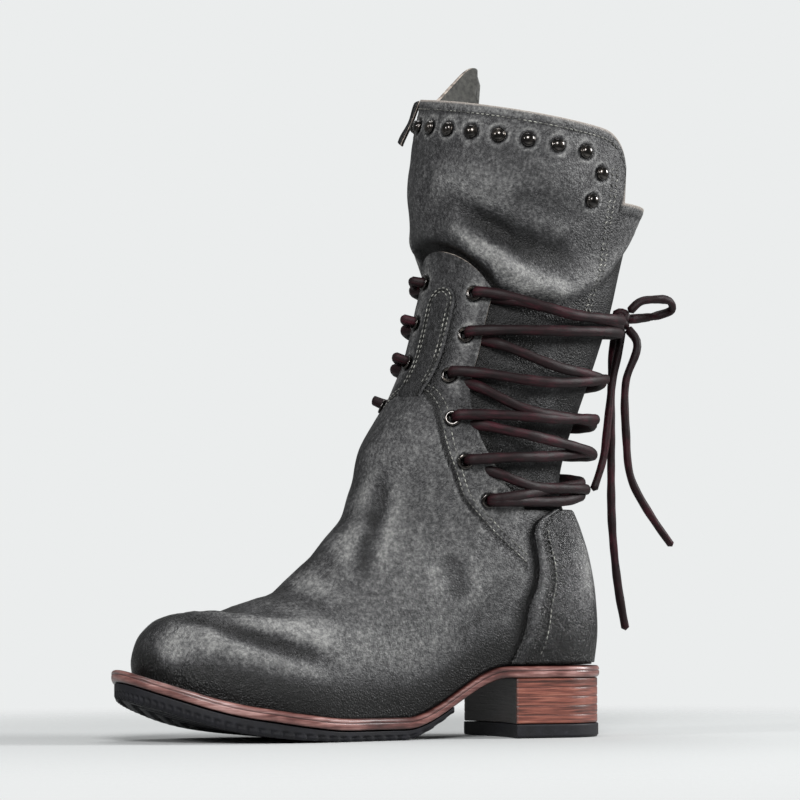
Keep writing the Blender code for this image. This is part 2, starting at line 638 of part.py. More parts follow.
outer_eyelets = [(eyelet_angle(height, inset, 1), height) for height, inset in EYELETS]
inner_eyelets = [(eyelet_angle(height + INNER_RAISE, inset, -1), height + INNER_RAISE)
                 for height, inset in EYELETS]
strands = [strand_points(outer_eyelets[-1], inner_eyelets[-1], 0.3, STRAND_LIFT)]
for upper_hole in range(len(EYELETS) - 1):
    strands.append(strand_points(outer_eyelets[upper_hole], inner_eyelets[upper_hole + 1],
                                 STRAND_LEAN, STRAND_LIFT))
    strands.append(strand_points(outer_eyelets[upper_hole + 1], inner_eyelets[upper_hole],
                                 -STRAND_LEAN, STRAND_LIFT + STRAND_STEP))
crossings = add_object("lace_crossings", tube_mesh("lace_crossings", strands[0], LACE_RADIUS), thong, boot)
for number, points in enumerate(strands[1:], start=1):
    piece = add_object(f"lace_strand_{number}", tube_mesh("strand", points, LACE_RADIUS), None, cutters)
    piece.hide_render = True
    piece.display_type = "WIRE"
    join = crossings.modifiers.new(piece.name, "BOOLEAN")
    join.operation = "UNION"
    join.object = piece

bpy.ops.mesh.primitive_ico_sphere_add(subdivisions=2, radius=KNOT_RADIUS * MM,
                                      location=Vector(KNOT_PLACE) * MM)
knot = bpy.context.object
knot.name = knot.data.name = "lace_knot"
knot.data.materials.append(thong)
for owner in list(knot.users_collection):
    owner.objects.unlink(knot)
boot.objects.link(knot)


def knot_exit(toward):
    """Place where a cord leaves the knot toward a point."""
    centre = Vector(KNOT_PLACE)
    return tuple(centre + (KNOT_RADIUS + GAP) * (Vector(toward) - centre).normalized())


loop_route = (knot_exit(LOOP_ROUTE[0]), *LOOP_ROUTE, knot_exit(LOOP_ROUTE[-1]))
end_a_route = (knot_exit(END_A_ROUTE[0]), *END_A_ROUTE)
end_b_route = (knot_exit(END_B_ROUTE[0]), *END_B_ROUTE)
for name, route in (("lace_loop", loop_route), ("lace_end_a", end_a_route), ("lace_end_b", end_b_route)):
    add_object(name, tube_mesh(name, smooth_path(route, 11), LACE_RADIUS), thong, boot)
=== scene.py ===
"""Looks of the back-laced mid-calf boot: worn grey leather on a stacked leather heel.

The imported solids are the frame. Lengths in the sections are millimetres in the same frame:
+X is the toe, +Y the outer side, +Z up, and the floor is at zero under the heel.
"""
import math

import bpy
import numpy as np
from mathutils import Matrix, Vector, noise


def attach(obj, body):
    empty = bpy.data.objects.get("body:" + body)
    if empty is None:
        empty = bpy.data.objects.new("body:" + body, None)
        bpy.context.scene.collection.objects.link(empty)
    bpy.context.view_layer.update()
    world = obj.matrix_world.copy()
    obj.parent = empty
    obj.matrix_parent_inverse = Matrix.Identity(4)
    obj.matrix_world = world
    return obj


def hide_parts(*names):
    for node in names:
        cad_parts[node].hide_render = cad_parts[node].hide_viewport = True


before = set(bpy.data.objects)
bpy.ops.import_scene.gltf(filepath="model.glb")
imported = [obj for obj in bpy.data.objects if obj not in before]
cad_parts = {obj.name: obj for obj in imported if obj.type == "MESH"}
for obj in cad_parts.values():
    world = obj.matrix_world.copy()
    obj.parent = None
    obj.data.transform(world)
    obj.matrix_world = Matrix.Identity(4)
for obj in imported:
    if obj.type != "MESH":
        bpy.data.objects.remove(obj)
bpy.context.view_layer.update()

MM = 0.001


# Studio. A pale floor fades into an even pale background, with a broad soft lamp over the eye,
# narrow ones behind the heel and before the toe and one overhead. The eye stays low, at the
# photograph's place, and looks at the middle of the boot so that the boot fills the frame.

def linear(code):
    """Linear colour of an sRGB hex value."""
    parts = [int(code[i:i + 2], 16) / 255.0 for i in (1, 3, 5)]
    return (*[c / 12.92 if c <= 0.04045 else ((c + 0.055) / 1.055) ** 2.4 for c in parts], 1.0)


def node(tree, kind, inputs=(), stops=(), **settings):
    """Add a node with its settings, its values or links by socket, and a ramp's stops."""
    made = tree.nodes.new(kind)
    for name, value in settings.items():
        setattr(made, name, value)
    for socket, value in dict(inputs).items():
        if isinstance(value, bpy.types.NodeSocket):
            tree.links.new(value, made.inputs[socket])
        else:
            made.inputs[socket].default_value = value
    for number, (place, colour) in enumerate(stops):
        elements = made.color_ramp.elements
        stop = elements[number] if number < 2 else elements.new(place)
        stop.position = place
        stop.color = linear(colour)
    return made


bpy.context.scene.view_settings.view_transform = "Standard"
eye = Vector((0.804, 1.559, 0.065))
aim = Vector((0.066, -0.028, 0.177))
bpy.ops.object.camera_add(location=eye, rotation=(aim - eye).to_track_quat("-Z", "Y").to_euler())
camera = bpy.context.object
camera.data.lens = 149.0
camera.data.clip_start = 0.05
camera.data.clip_end = 60.0
bpy.context.scene.camera = camera

lit_spot = Vector((0.05, 0.0, 0.15))
lamps = (("key_lamp", (0.72, 1.58, 1.05), 0.7, 37.0), ("heel_lamp", (-1.15, 0.42, 0.70), 0.45, 21.0),
         ("toe_lamp", (1.70, 0.40, 0.80), 0.30, 9.0), ("top_lamp", (-0.10, -0.35, 1.60), 0.9, 8.0))
for name, place, size, watts in lamps:
    turn = (lit_spot - Vector(place)).to_track_quat("-Z", "Y").to_euler()
    bpy.ops.object.light_add(type="AREA", location=place, rotation=turn)
    lamp = bpy.context.object
    lamp.name = name
    lamp.data.shape = "DISK"
    lamp.data.size = size
    lamp.data.energy = watts

pale = linear("#EBEDED")
sky = bpy.data.worlds.new("pale_studio")
sky.use_nodes = True
tree = sky.node_tree
lit = tree.nodes["Background"]
lit.inputs["Color"].default_value = pale
lit.inputs["Strength"].default_value = 0.24
seen = node(tree, "ShaderNodeBackground", {"Color": pale, "Strength": 1.0})
ray = node(tree, "ShaderNodeLightPath")
both = node(tree, "ShaderNodeMixShader",
            {0: ray.outputs["Is Camera Ray"], 1: lit.outputs[0], 2: seen.outputs[0]})
tree.links.new(both.outputs[0], tree.nodes["World Output"].inputs["Surface"])
bpy.context.scene.world = sky


def new_finish(name):
    """Start a material, and give its node tree and its main shader too."""
    made = bpy.data.materials.new(name)
    made.use_nodes = True
    return made, made.node_tree, made.node_tree.nodes["Principled BSDF"]


FLOOR_LEVEL = -0.0002
bpy.ops.object.select_all(action="DESELECT")
bpy.ops.mesh.primitive_circle_add(vertices=96, radius=2.2, fill_type="TRIFAN",
                                  location=(0.0, 0.0, FLOOR_LEVEL))
floor = bpy.context.object
floor.name = "studio_floor"

# Matt paper, coated: even pale grey that thins out to nothing, so that no horizon shows
paper, tree, shader = new_finish("matt_paper_floor")
shader.inputs["Base Color"].default_value = linear("#BBBDBD")
shader.inputs["Roughness"].default_value = 0.9
shader.inputs["Specular IOR Level"].default_value = 0.1
spot = node(tree, "ShaderNodeTexCoord")
reach = node(tree, "ShaderNodeVectorMath", {0: spot.outputs["Object"]}, operation="LENGTH")
fade = node(tree, "ShaderNodeMapRange",
            {"Value": reach.outputs["Value"], "From Min": 0.20, "From Max": 0.62},
            interpolation_type="SMOOTHSTEP")
clear = node(tree, "ShaderNodeBsdfTransparent")
cover = node(tree, "ShaderNodeMixShader",
             {0: fade.outputs["Result"], 1: shader.outputs[0], 2: clear.outputs[0]})
tree.links.new(cover.outputs[0], tree.nodes["Material Output"].inputs["Surface"])
floor.data.materials.append(paper)


# Midsole and welt. One band of brown sole leather, 6 mm thick, skived and burnished at its edge,
# where a fine groove parts the welt from the midsole. It is lasted to the upper's feather edge.

SEAT_TOP, BALL_TOP, MIDSOLE = 37.0, 11.5, 6.0
WAIST_START, WAIST_LONG = 31.0, 58.0
FOREPART_START, FOREPART_LONG, FOREPART_RISE = 122.0, 50.0, 4.4
SPRING_START, SPRING_LONG, TOE_SPRING = 150.0, 83.0, 22.0
TIP_START, TIP_LONG, TIP_DROP = 205.0, 28.0, 1.2
ROUNDNESS, HEEL_SHARE, WAIST_SHARE, BALL_SHARE = 2.1, 0.15, 0.42, 0.70
EDGE_ROUND, WELT_GROOVE, GROOVE_SHARE = 1.2, 0.55, 0.60
WELT = dict(x_back=-33.0, x_front=233.0, rear=32.5, waist_out=31.5, waist_in=27.5,
            ball_out=46.0, ball_in=48.5, cap_back=0.12, cap_front=0.30, swing=-6.0)


def ease(t):
    """Smooth step from 0 to 1."""
    t = np.clip(t, 0.0, 1.0)
    return t * t * (3.0 - 2.0 * t)


def sole_top(x):
    """Height of the midsole's top: flat seat, slope through the waist, toe spring."""
    slope = (BALL_TOP - SEAT_TOP) * ease((x - WAIST_START) / WAIST_LONG)
    rise = FOREPART_RISE * ease((x - FOREPART_START) / FOREPART_LONG)
    rise = rise - TIP_DROP * ease((x - TIP_START) / TIP_LONG)
    return SEAT_TOP + slope + rise + TOE_SPRING * np.clip((x - SPRING_START) / SPRING_LONG, 0.0, 1.1) ** 2


def plan(ring, angle):
    """Plan point of a ring at an angle from its back, and the share along its length."""
    turn = np.radians(angle)
    share = (1.0 - np.cos(turn)) / 2.0
    outer = np.sin(turn) >= 0.0
    waist = np.where(outer, ring["waist_out"], ring["waist_in"])
    ball = np.where(outer, ring["ball_out"], ring["ball_in"])
    half = ring["rear"] + (waist - ring["rear"]) * ease((share - HEEL_SHARE) / (WAIST_SHARE - HEEL_SHARE))
    half = half + (ball - waist) * ease((share - WAIST_SHARE) / (BALL_SHARE - WAIST_SHARE))
    back = np.clip(1.0 - share / ring["cap_back"], 0.0, 1.0)
    front = np.clip(1.0 - (1.0 - share) / ring["cap_front"], 0.0, 1.0)
    half = half * ((1.0 - back ** ROUNDNESS) * (1.0 - front ** ROUNDNESS)) ** (1.0 / ROUNDNESS)
    x = ring["x_back"] + share * (ring["x_front"] - ring["x_back"])
    return x, np.where(outer, half, -half) + ring["swing"] * share ** 2, share


def plan_edge(ring, angle, inset):
    """Plan point moved in from the edge, and the middle line's y beside it."""
    x, y, share = plan(ring, angle)
    ahead = np.stack(plan(ring, angle + 0.5)[:2]) - np.stack(plan(ring, angle - 0.5)[:2])
    out = np.stack([-ahead[1], ahead[0]]) / np.hypot(*ahead)
    return x + inset * out[0], y + inset * out[1], ring["swing"] * share ** 2


def shaped_grid(name, across, up, place, closed=True):
    """Add a grid and move its points by a function of two shares, with its painted values."""
    bpy.ops.object.select_all(action="DESELECT")
    bpy.ops.mesh.primitive_grid_add(x_subdivisions=across, y_subdivisions=up, size=2.0)
    made = bpy.context.object
    made.name = made.data.name = name
    flat = np.empty(len(made.data.vertices) * 3)
    made.data.vertices.foreach_get("co", flat)
    shares = (flat.reshape(-1, 3)[:, :2] + 1.0) / 2.0
    points, painted = place(shares[:, 0], shares[:, 1])
    made.data.vertices.foreach_set("co", (points * MM).ravel())
    for label, values in painted.items():
        layer = made.data.attributes.new(label, "FLOAT", "POINT")
        layer.data.foreach_set("value", np.clip(values, 0.0, 1.0))
    bpy.ops.object.mode_set(mode="EDIT")
    bpy.ops.mesh.select_all(action="SELECT")
    bpy.ops.mesh.remove_doubles(threshold=0.00001)
    if closed:
        bpy.ops.mesh.fill_holes(sides=0)
        bpy.ops.mesh.normals_make_consistent(inside=False)
    bpy.ops.object.mode_set(mode="OBJECT")
    bpy.ops.object.shade_smooth()
    return made


def midsole_place(u, v):
    """Underside, grooved edge and top of the midsole, a quarter, a half and a quarter of the grid."""
    angle = 360.0 * u
    rim = np.clip((v - 0.25) / 0.5, 0.0, 1.0)
    groove = WELT_GROOVE * np.exp(-((rim - GROOVE_SHARE) / 0.045) ** 2)
    x, y, middle = plan_edge(WELT, angle, -EDGE_ROUND * np.abs(2.0 * rim - 1.0) ** 4 - groove)
    cover = np.minimum(np.minimum(v, 1.0 - v) / 0.25, 1.0)
    y = middle + cover * (y - middle)
    return np.stack([x, y, sole_top(x) - MIDSOLE * (1.0 - rim)], axis=-1), {"rim": rim}


midsole = shaped_grid("midsole_welt", 260, 44, midsole_place)

# Vegetable-tanned leather, edge dyed red-brown and burnished: streaks of 1.6 mm along the edge in
# blotches of 22 mm, pink sheen
sole_leather, tree, shader = new_finish("burnished_sole_leather")
spot = node(tree, "ShaderNodeTexCoord")
drawn = node(tree, "ShaderNodeMapping", {"Vector": spot.outputs["Object"], "Scale": (1.0, 1.0, 9.0)})
streak = node(tree, "ShaderNodeTexNoise", {"Vector": drawn.outputs[0], "Scale": 70.0, "Detail": 6.0,
                                           "Roughness": 0.62})
blotch = node(tree, "ShaderNodeTexNoise", {"Vector": spot.outputs["Object"], "Scale": 45.0, "Detail": 3.0})
mixed = node(tree, "ShaderNodeMath", {0: streak.outputs["Fac"], 1: blotch.outputs["Fac"]}, operation="ADD")
halved = node(tree, "ShaderNodeMath", {0: mixed.outputs[0], 1: 0.5}, operation="MULTIPLY")
tone = node(tree, "ShaderNodeValToRGB", {"Fac": halved.outputs[0]},
            ((0.30, "#2a1615"), (0.44, "#563532"), (0.54, "#82605c"), (0.68, "#b89d9b")))
# Painted shade along the edge: darker at its lower round, in the groove and along its top
rim = node(tree, "ShaderNodeAttribute", attribute_name="rim")
shade = node(tree, "ShaderNodeValToRGB", {"Fac": rim.outputs["Fac"]},
             ((0.0, "#4a2a24"), (0.10, "#e6d3cd"), (0.52, "#fff2ee"), (0.60, "#6a4038"), (0.66, "#ffffff"),
              (0.93, "#d8bcb4"), (1.0, "#6b4038")))
coloured = node(tree, "ShaderNodeMix",
                {"Factor": 1.0, 6: tone.outputs["Color"], 7: shade.outputs["Color"]},
                data_type="RGBA", blend_type="MULTIPLY")
tree.links.new(coloured.outputs[2], shader.inputs["Base Color"])
rough = node(tree, "ShaderNodeMapRange", {"Value": streak.outputs["Fac"], "To Min": 0.22, "To Max": 0.5})
tree.links.new(rough.outputs["Result"], shader.inputs["Roughness"])
shader.inputs["Coat Weight"].default_value = 0.25
shader.inputs["Coat Roughness"].default_value = 0.25
relief = node(tree, "ShaderNodeBump", {"Height": streak.outputs["Fac"], "Strength": 0.35,
                                       "Distance": 0.0006})
tree.links.new(relief.outputs["Normal"], shader.inputs["Normal"])
midsole.data.materials.append(sole_leather)
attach(midsole, "root")
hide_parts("midsole")


# Half sole. Black moulded rubber under the forefoot, cemented on, with small teeth round its edge
# and chevron tread cut up into its floor side.

HALF_SOLE_BACK, HALF_SOLE_INSET, CEMENT = 62.0, 1.5, 0.6
RUBBER_BACK, RUBBER_BALL, RUBBER_TOE = 3.0, 1.9, 2.4
TOOTH_PITCH, TOOTH_DEEP, LOW_ROUND = 3.4, 1.1, 0.8
CHEVRON_PITCH, CHEVRON_DEEP, CHEVRON_SLANT = 8.5, 1.5, 0.55


def angle_at(x):
    """Angle from the sole's back at which its edge passes a length."""
    return math.degrees(math.acos(1.0 - 2.0 * (x - WELT["x_back"]) / (WELT["x_front"] - WELT["x_back"])))


half_sole_start = angle_at(HALF_SOLE_BACK)


def slab_cover(v):
    """How far out each row of a slab's grid lies: half of it underside, then its edge, then its top."""
    return np.where(v < 0.5, v / 0.5, np.where(v > 0.8, (1.0 - v) / 0.2, 1.0))


def half_sole_place(u, v):
    """Tread, toothed edge and top of the half sole."""
    angle = half_sole_start + u * (360.0 - 2.0 * half_sole_start)
    rim = np.clip((v - 0.5) / 0.3, 0.0, 1.0)
    reach = (angle - 180.0) * 1.12
    tooth = ease(np.sin(reach * 2.0 * np.pi / TOOTH_PITCH) * 1.6 + 0.5) * (1.0 - ease((rim - 0.45) / 0.12))
    inset = HALF_SOLE_INSET + TOOTH_DEEP * tooth + LOW_ROUND * (1.0 - ease(rim / 0.25))
    x, y, middle = plan_edge(WELT, angle, -inset)
    cover = slab_cover(v)
    y = middle + cover * (y - middle)
    top = sole_top(x) - MIDSOLE - CEMENT
    thick = RUBBER_BACK + RUBBER_BALL * ease((x - HALF_SOLE_BACK) / 32.0)
    thick = thick + RUBBER_TOE * ease((x - FOREPART_START) / FOREPART_LONG)
    wave = (x + CHEVRON_SLANT * np.abs(y - middle)) / CHEVRON_PITCH
    tread = ease(np.sin(2.0 * np.pi * wave) * 2.2 - 0.4) * (1.0 - ease((cover - 0.84) / 0.06))
    bottom = top - thick + CHEVRON_DEEP * tread * (v < 0.5)
    return np.stack([x, y, bottom + rim * (top - bottom)], axis=-1), {}


half_sole = shaped_grid("half_sole", 420, 56, half_sole_place)

# Black sole rubber, moulded: near-matt, a little bluish, dusty, with scuffs of 6 mm
rubber, tree, shader = new_finish("moulded_black_rubber")
spot = node(tree, "ShaderNodeTexCoord")
scuff = node(tree, "ShaderNodeTexNoise", {"Vector": spot.outputs["Object"], "Scale": 160.0, "Detail": 7.0,
                                          "Roughness": 0.7})
tone = node(tree, "ShaderNodeValToRGB", {"Fac": scuff.outputs["Fac"]},
            ((0.35, "#08080c"), (0.60, "#111117"), (0.78, "#2a2a30")))
tree.links.new(tone.outputs["Color"], shader.inputs["Base Color"])
rough = node(tree, "ShaderNodeMapRange", {"Value": scuff.outputs["Fac"], "To Min": 0.45, "To Max": 0.75})
tree.links.new(rough.outputs["Result"], shader.inputs["Roughness"])
shader.inputs["Specular IOR Level"].default_value = 0.3
relief = node(tree, "ShaderNodeBump", {"Height": scuff.outputs["Fac"], "Strength": 0.4, "Distance": 0.0008})
tree.links.new(relief.outputs["Normal"], shader.inputs["Normal"])
half_sole.data.materials.append(rubber)
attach(half_sole, "root")
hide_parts("outsole")


# Heel. Five lifts of brown leather stacked and sanded flush, with a hollow breast,
# on a top lift of black rubber that stands on the floor.

TOP_LIFT, LIFTS, LIFT_GAP, LIFT_GROOVE = 7.0, 5, 0.3, 0.32
STACK_INSET, TOP_LIFT_INSET = 1.1, 0.6
HEEL_MIDDLE, BREAST_PLACE, BREAST_HOLLOW, BREAST_SHARE = -4.0, 27.0, 5.0, 0.8
breast = angle_at(BREAST_PLACE)


def heel_outline(u, inset):
    """Heel outline at a share round it: the sole's back, then the hollow breast."""
    side = np.clip(u / BREAST_SHARE, 0.0, 1.0)
    x, y, _ = plan_edge(WELT, -breast + 2.0 * breast * side, inset)
    start = np.stack(plan_edge(WELT, breast, inset)[:2])
    end = np.stack(plan_edge(WELT, -breast, inset)[:2])
    cross = np.clip((u - BREAST_SHARE) / (1.0 - BREAST_SHARE), 0.0, 1.0)
    hollow = BREAST_HOLLOW * (1.0 - (2.0 * cross - 1.0) ** 2)
    x = np.where(u > BREAST_SHARE, start[0] + cross * (end[0] - start[0]) - hollow, x)
    return x, np.where(u > BREAST_SHARE, start[1] + cross * (end[1] - start[1]), y)


def stack_place(u, v):
    """Side of the stack with a fine groove between its lifts, closed below and above."""
    rise = np.clip((v - 0.12) / 0.76, 0.0, 1.0)
    joint = np.abs(rise * LIFTS - np.round(rise * LIFTS))
    x, y = heel_outline(u, -STACK_INSET - LIFT_GROOVE * np.exp(-(joint / 0.07) ** 2))
    cover = np.minimum(np.minimum(v, 1.0 - v) / 0.12, 1.0)
    low, high = TOP_LIFT + LIFT_GAP, SEAT_TOP - MIDSOLE - LIFT_GAP
    x = HEEL_MIDDLE + cover * (x - HEEL_MIDDLE)
    painted = {"rise": rise, "breast": ease((u - BREAST_SHARE + 0.005) / 0.01)}
    return np.stack([x, cover * y, low + rise * (high - low)], axis=-1), painted


heel_stack = shaped_grid("heel_stack_lifts", 220, 84, stack_place)

# Stacked leather, sanded and waxed: each lift its own brown, dark lines of 1 mm along the grain,
# and the breast near black as painted shade
stacked, tree, shader = new_finish("stacked_heel_leather")
spot = node(tree, "ShaderNodeTexCoord")
drawn = node(tree, "ShaderNodeMapping", {"Vector": spot.outputs["Object"], "Scale": (1.0, 1.0, 22.0)})
line = node(tree, "ShaderNodeTexNoise", {"Vector": drawn.outputs[0], "Scale": 42.0, "Detail": 7.0,
                                         "Roughness": 0.66})
rise = node(tree, "ShaderNodeAttribute", attribute_name="rise")
lift = node(tree, "ShaderNodeMath", {0: rise.outputs["Fac"], 1: float(LIFTS)}, operation="MULTIPLY")
step = node(tree, "ShaderNodeMath", {0: lift.outputs[0]}, operation="FLOOR")
each = node(tree, "ShaderNodeTexWhiteNoise", {"W": step.outputs[0]}, noise_dimensions="1D")
own = node(tree, "ShaderNodeMapRange", {"Value": each.outputs["Value"], "To Min": -0.05, "To Max": 0.05})
summed = node(tree, "ShaderNodeMath", {0: line.outputs["Fac"], 1: own.outputs["Result"]}, operation="ADD")
tone = node(tree, "ShaderNodeValToRGB", {"Fac": summed.outputs[0]},
            ((0.32, "#28120d"), (0.42, "#502a21"), (0.52, "#703d32"), (0.62, "#865142"), (0.74, "#a07567")))
part_line = node(tree, "ShaderNodeMath", {0: lift.outputs[0]}, operation="FRACT")
ridge = node(tree, "ShaderNodeValToRGB", {"Fac": part_line.outputs[0]},
             ((0.0, "#5a3024"), (0.06, "#ffffff"), (0.94, "#ffffff"), (1.0, "#5a3024")))
coloured = node(tree, "ShaderNodeMix",
                {"Factor": 0.75, 6: tone.outputs["Color"], 7: ridge.outputs["Color"]},
                data_type="RGBA", blend_type="MULTIPLY")
# Painted shade: the hollow breast under the arch is made near black
breast_side = node(tree, "ShaderNodeAttribute", attribute_name="breast")
breast_shade = node(tree, "ShaderNodeMix", {"Factor": breast_side.outputs["Fac"], 6: coloured.outputs[2],
                                    7: linear("#1b1412")}, data_type="RGBA")
tree.links.new(breast_shade.outputs[2], shader.inputs["Base Color"])
rough = node(tree, "ShaderNodeMapRange", {"Value": line.outputs["Fac"], "To Min": 0.3, "To Max": 0.55})
tree.links.new(rough.outputs["Result"], shader.inputs["Roughness"])
relief = node(tree, "ShaderNodeBump", {"Height": line.outputs["Fac"], "Strength": 0.4, "Distance": 0.0006})
tree.links.new(relief.outputs["Normal"], shader.inputs["Normal"])
heel_stack.data.materials.append(stacked)
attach(heel_stack, "root")
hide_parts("heel_stack")


LOZENGE, LOZENGE_DEEP = 7.0, 0.9


def lift_place(u, v):
    """Top lift with rounded edges and a pattern of lozenges cut up into its floor side."""
    rise = np.clip((v - 0.5) / 0.3, 0.0, 1.0)
    inset = TOP_LIFT_INSET + 0.9 * (1.0 - ease(rise / 0.16)) + 0.4 * ease((rise - 0.92) / 0.08)
    x, y = heel_outline(u, -inset)
    cover = slab_cover(v)
    x, y = HEEL_MIDDLE + cover * (x - HEEL_MIDDLE), cover * y
    lozenge = np.sin(2.0 * np.pi * (x + y) / LOZENGE) * np.sin(2.0 * np.pi * (x - y) / LOZENGE)
    tread = ease(lozenge * 3.0 - 0.6) * (cover < 0.9) * (v < 0.5)
    return np.stack([x, y, rise * TOP_LIFT + LOZENGE_DEEP * tread], axis=-1), {}


top_lift = shaped_grid("heel_top_lift_rubber", 220, 64, lift_place)
top_lift.data.materials.append(rubber)
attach(top_lift, "root")
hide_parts("heel_top_lift")


# Upper. The foot shell and the tall front panel are grey leather lasted as one shell, 2 mm thick,
# with the vamp sewn over the panel and quarters by two rows of stitches.
# Its face is the last: rings from the feather edge to the collar, named by their height at the back.

WALL, FEATHER_EDGE, TOP_LINE, TURN = 2.0, 37.8, 119.0, 20.0
PANEL_TOP, PANEL_TILT, PANEL_CORNER, PANEL_SPAN = 251.0, 8.0, 12.5, 110.0
LAST_COLUMNS = ("z_back", "z_front", "x_back", "x_front", "rear", "waist_out", "waist_in",
                "ball_out", "ball_in", "cap_back", "cap_front", "drop", "swing")
LAST_ROWS = (
    (37.8, 29.6, -29.0, 221.0, 29.0, 28.0, 24.5, 41.0, 43.0, 0.12, 0.30, 1.00, -6.0),
    (48.0, 42.0, -30.0, 222.0, 30.5, 31.0, 28.5, 43.5, 45.5, 0.12, 0.30, 0.95, -6.0),
    (58.0, 54.5, -30.0, 217.0, 31.0, 33.0, 31.0, 42.5, 43.5, 0.12, 0.31, 0.82, -5.5),
    (68.0, 63.2, -29.5, 202.5, 31.0, 34.0, 32.5, 40.0, 39.5, 0.13, 0.34, 0.60, -4.0),
    (77.0, 65.8, -28.8, 175.0, 30.5, 34.5, 33.0, 36.5, 35.5, 0.15, 0.38, 0.40, -2.5),
    (86.0, 74.5, -27.5, 149.5, 30.0, 34.5, 33.5, 33.0, 32.0, 0.18, 0.42, 0.22, -1.5),
    (96.0, 91.0, -25.5, 130.0, 29.0, 34.5, 34.0, 31.5, 31.0, 0.22, 0.44, 0.10, -0.5),
    (108.0, 108.0, -21.5, 114.0, 28.5, 35.0, 34.5, 32.5, 32.0, 0.28, 0.45, 0.0, 0.0),
    (127.0, 127.0, -14.5, 104.5, 29.5, 36.5, 36.5, 35.0, 35.0, 0.38, 0.47, 0.0, 0.0),
    (150.0, 150.0, -18.0, 98.5, 33.0, 38.5, 38.0, 38.0, 37.5, 0.45, 0.48, 0.0, 0.0),
    (170.0, 170.0, -25.0, 86.0, 37.0, 40.5, 39.5, 40.0, 39.0, 0.48, 0.49, 0.0, 0.0),
    (190.0, 190.0, -32.0, 76.0, 41.0, 42.5, 41.0, 42.5, 41.0, 0.50, 0.50, 0.0, 0.0),
    (220.0, 220.0, -42.0, 67.5, 44.5, 44.5, 43.5, 44.5, 43.5, 0.50, 0.50, 0.0, 0.0),
    (250.0, 250.0, -49.5, 62.5, 46.0, 46.0, 45.0, 46.0, 45.0, 0.50, 0.50, 0.0, 0.0),
    (265.0, 265.0, -53.0, 65.5, 49.0, 49.0, 48.5, 49.0, 48.5, 0.50, 0.50, 0.0, 0.0),
    (285.0, 285.0, -58.0, 69.5, 54.0, 54.0, 54.0, 54.0, 54.0, 0.50, 0.50, 0.0, 0.0),
    (305.0, 305.0, -59.0, 67.5, 54.5, 54.5, 54.5, 54.5, 54.5, 0.50, 0.50, 0.0, 0.0),
    (325.0, 325.0, -58.5, 63.5, 54.5, 54.5, 54.5, 54.5, 54.5, 0.50, 0.50, 0.0, 0.0),
    (355.0, 355.0, -58.0, 58.0, 54.5, 54.5, 54.5, 54.5, 54.5, 0.50, 0.50, 0.0, 0.0),
    (385.0, 385.0, -57.5, 54.0, 54.5, 54.5, 54.5, 54.5, 54.5, 0.50, 0.50, 0.0, 0.0),
)
LAST = {name: np.array(values) for name, values in zip(LAST_COLUMNS, zip(*LAST_ROWS))}
EDGE_HEIGHTS = (119.0, 144.0, 155.0, 170.0, 181.0, 204.0, 230.0, 255.0)
EDGE_ANGLES = (110.0, 83.0, 68.5, 49.0, 38.6, 33.2, 33.0, 34.0)


def curve_through(knots, values, t):
    """Smooth curve through (knots, values): cubic with the mean slope at each knot."""
    knots, values = np.asarray(knots, float), np.asarray(values, float)
    slopes = np.gradient(values, knots)
    i = np.clip(np.searchsorted(knots, t) - 1, 0, len(knots) - 2)
    span = knots[i + 1] - knots[i]
    s = (t - knots[i]) / span
    start = (1 + 2 * s) * (1 - s) ** 2 * values[i] + s * (1 - s) ** 2 * span * slopes[i]
    return start + s * s * (3 - 2 * s) * values[i + 1] + s * s * (s - 1) * span * slopes[i + 1]


def last_point(angle, height):
    """Point of the boot's outer face at an angle and a height at the back."""
    ring = {name: curve_through(LAST["z_back"], LAST[name], height) for name in LAST_COLUMNS}
    x, y, share = plan(ring, angle)
    level = height + share * (ring["z_front"] - height)
    line = SEAT_TOP + share * (sole_top(ring["x_front"]) - SEAT_TOP)
    return np.stack([x, y, level + ring["drop"] * (sole_top(x) - line)], axis=-1)


def surface(angle, height, offset=0.0):
    """Point of the boot's outer face, moved outward by an offset."""
    angle, height = np.broadcast_arrays(np.asarray(angle, float), np.asarray(height, float))
    along = last_point(angle + 0.5, height) - last_point(angle - 0.5, height)
    rise = last_point(angle, height + 0.5) - last_point(angle, height - 0.5)
    normal = np.cross(rise, along)
    normal = normal / np.linalg.norm(normal, axis=-1, keepdims=True)
    return last_point(angle, height) + np.asarray(offset, float)[..., None] * normal


def panel_turn(height):
    """How far the front panel and the collar turn to the outer side at a height."""
    return TURN * ease((height - 122.0) / 74.0)


def panel_edge(height):
    """Half angle from the panel's middle to its open edge at a height."""
    return curve_through(EDGE_HEIGHTS, EDGE_ANGLES, np.asarray(height, float))


def lengths(row):
    """Length along a row of points from its start to each of them."""
    return np.concatenate([[0.0], np.cumsum(np.linalg.norm(np.diff(row, axis=0), axis=1))])


def drawn_line(knots, side=0, count=70):
    """Row of points on the boot's face through knots of (angle, height).

    With a side, the angle is counted from the panel's middle toward the outer (1) or inner (-1) side.
    """
    knots = np.asarray(knots, float)
    reach = lengths(knots)
    fine = np.linspace(0.0, reach[-1], count)
    angle = curve_through(reach, knots[:, 0], fine)
    height = curve_through(reach, knots[:, 1], fine)
    if side:
        angle = 180.0 - panel_turn(height) - side * angle
    return angle, height


def nearness(points, line):
    """Distance of points from a line on the boot's face, and the share along it."""
    row = surface(*line)
    gap = np.full(len(points), 1e6)
    along = np.zeros(len(points))
    for number, (a, b) in enumerate(zip(row[:-1], row[1:])):
        step = b - a
        t = np.clip(((points - a) @ step) / (step @ step), 0.0, 1.0)
        far = np.linalg.norm(points - a - t[:, None] * step, axis=1)
        closer = far < gap
        gap[closer] = far[closer]
        along[closer] = (number + t[closer]) / (len(row) - 1)
    return gap, along


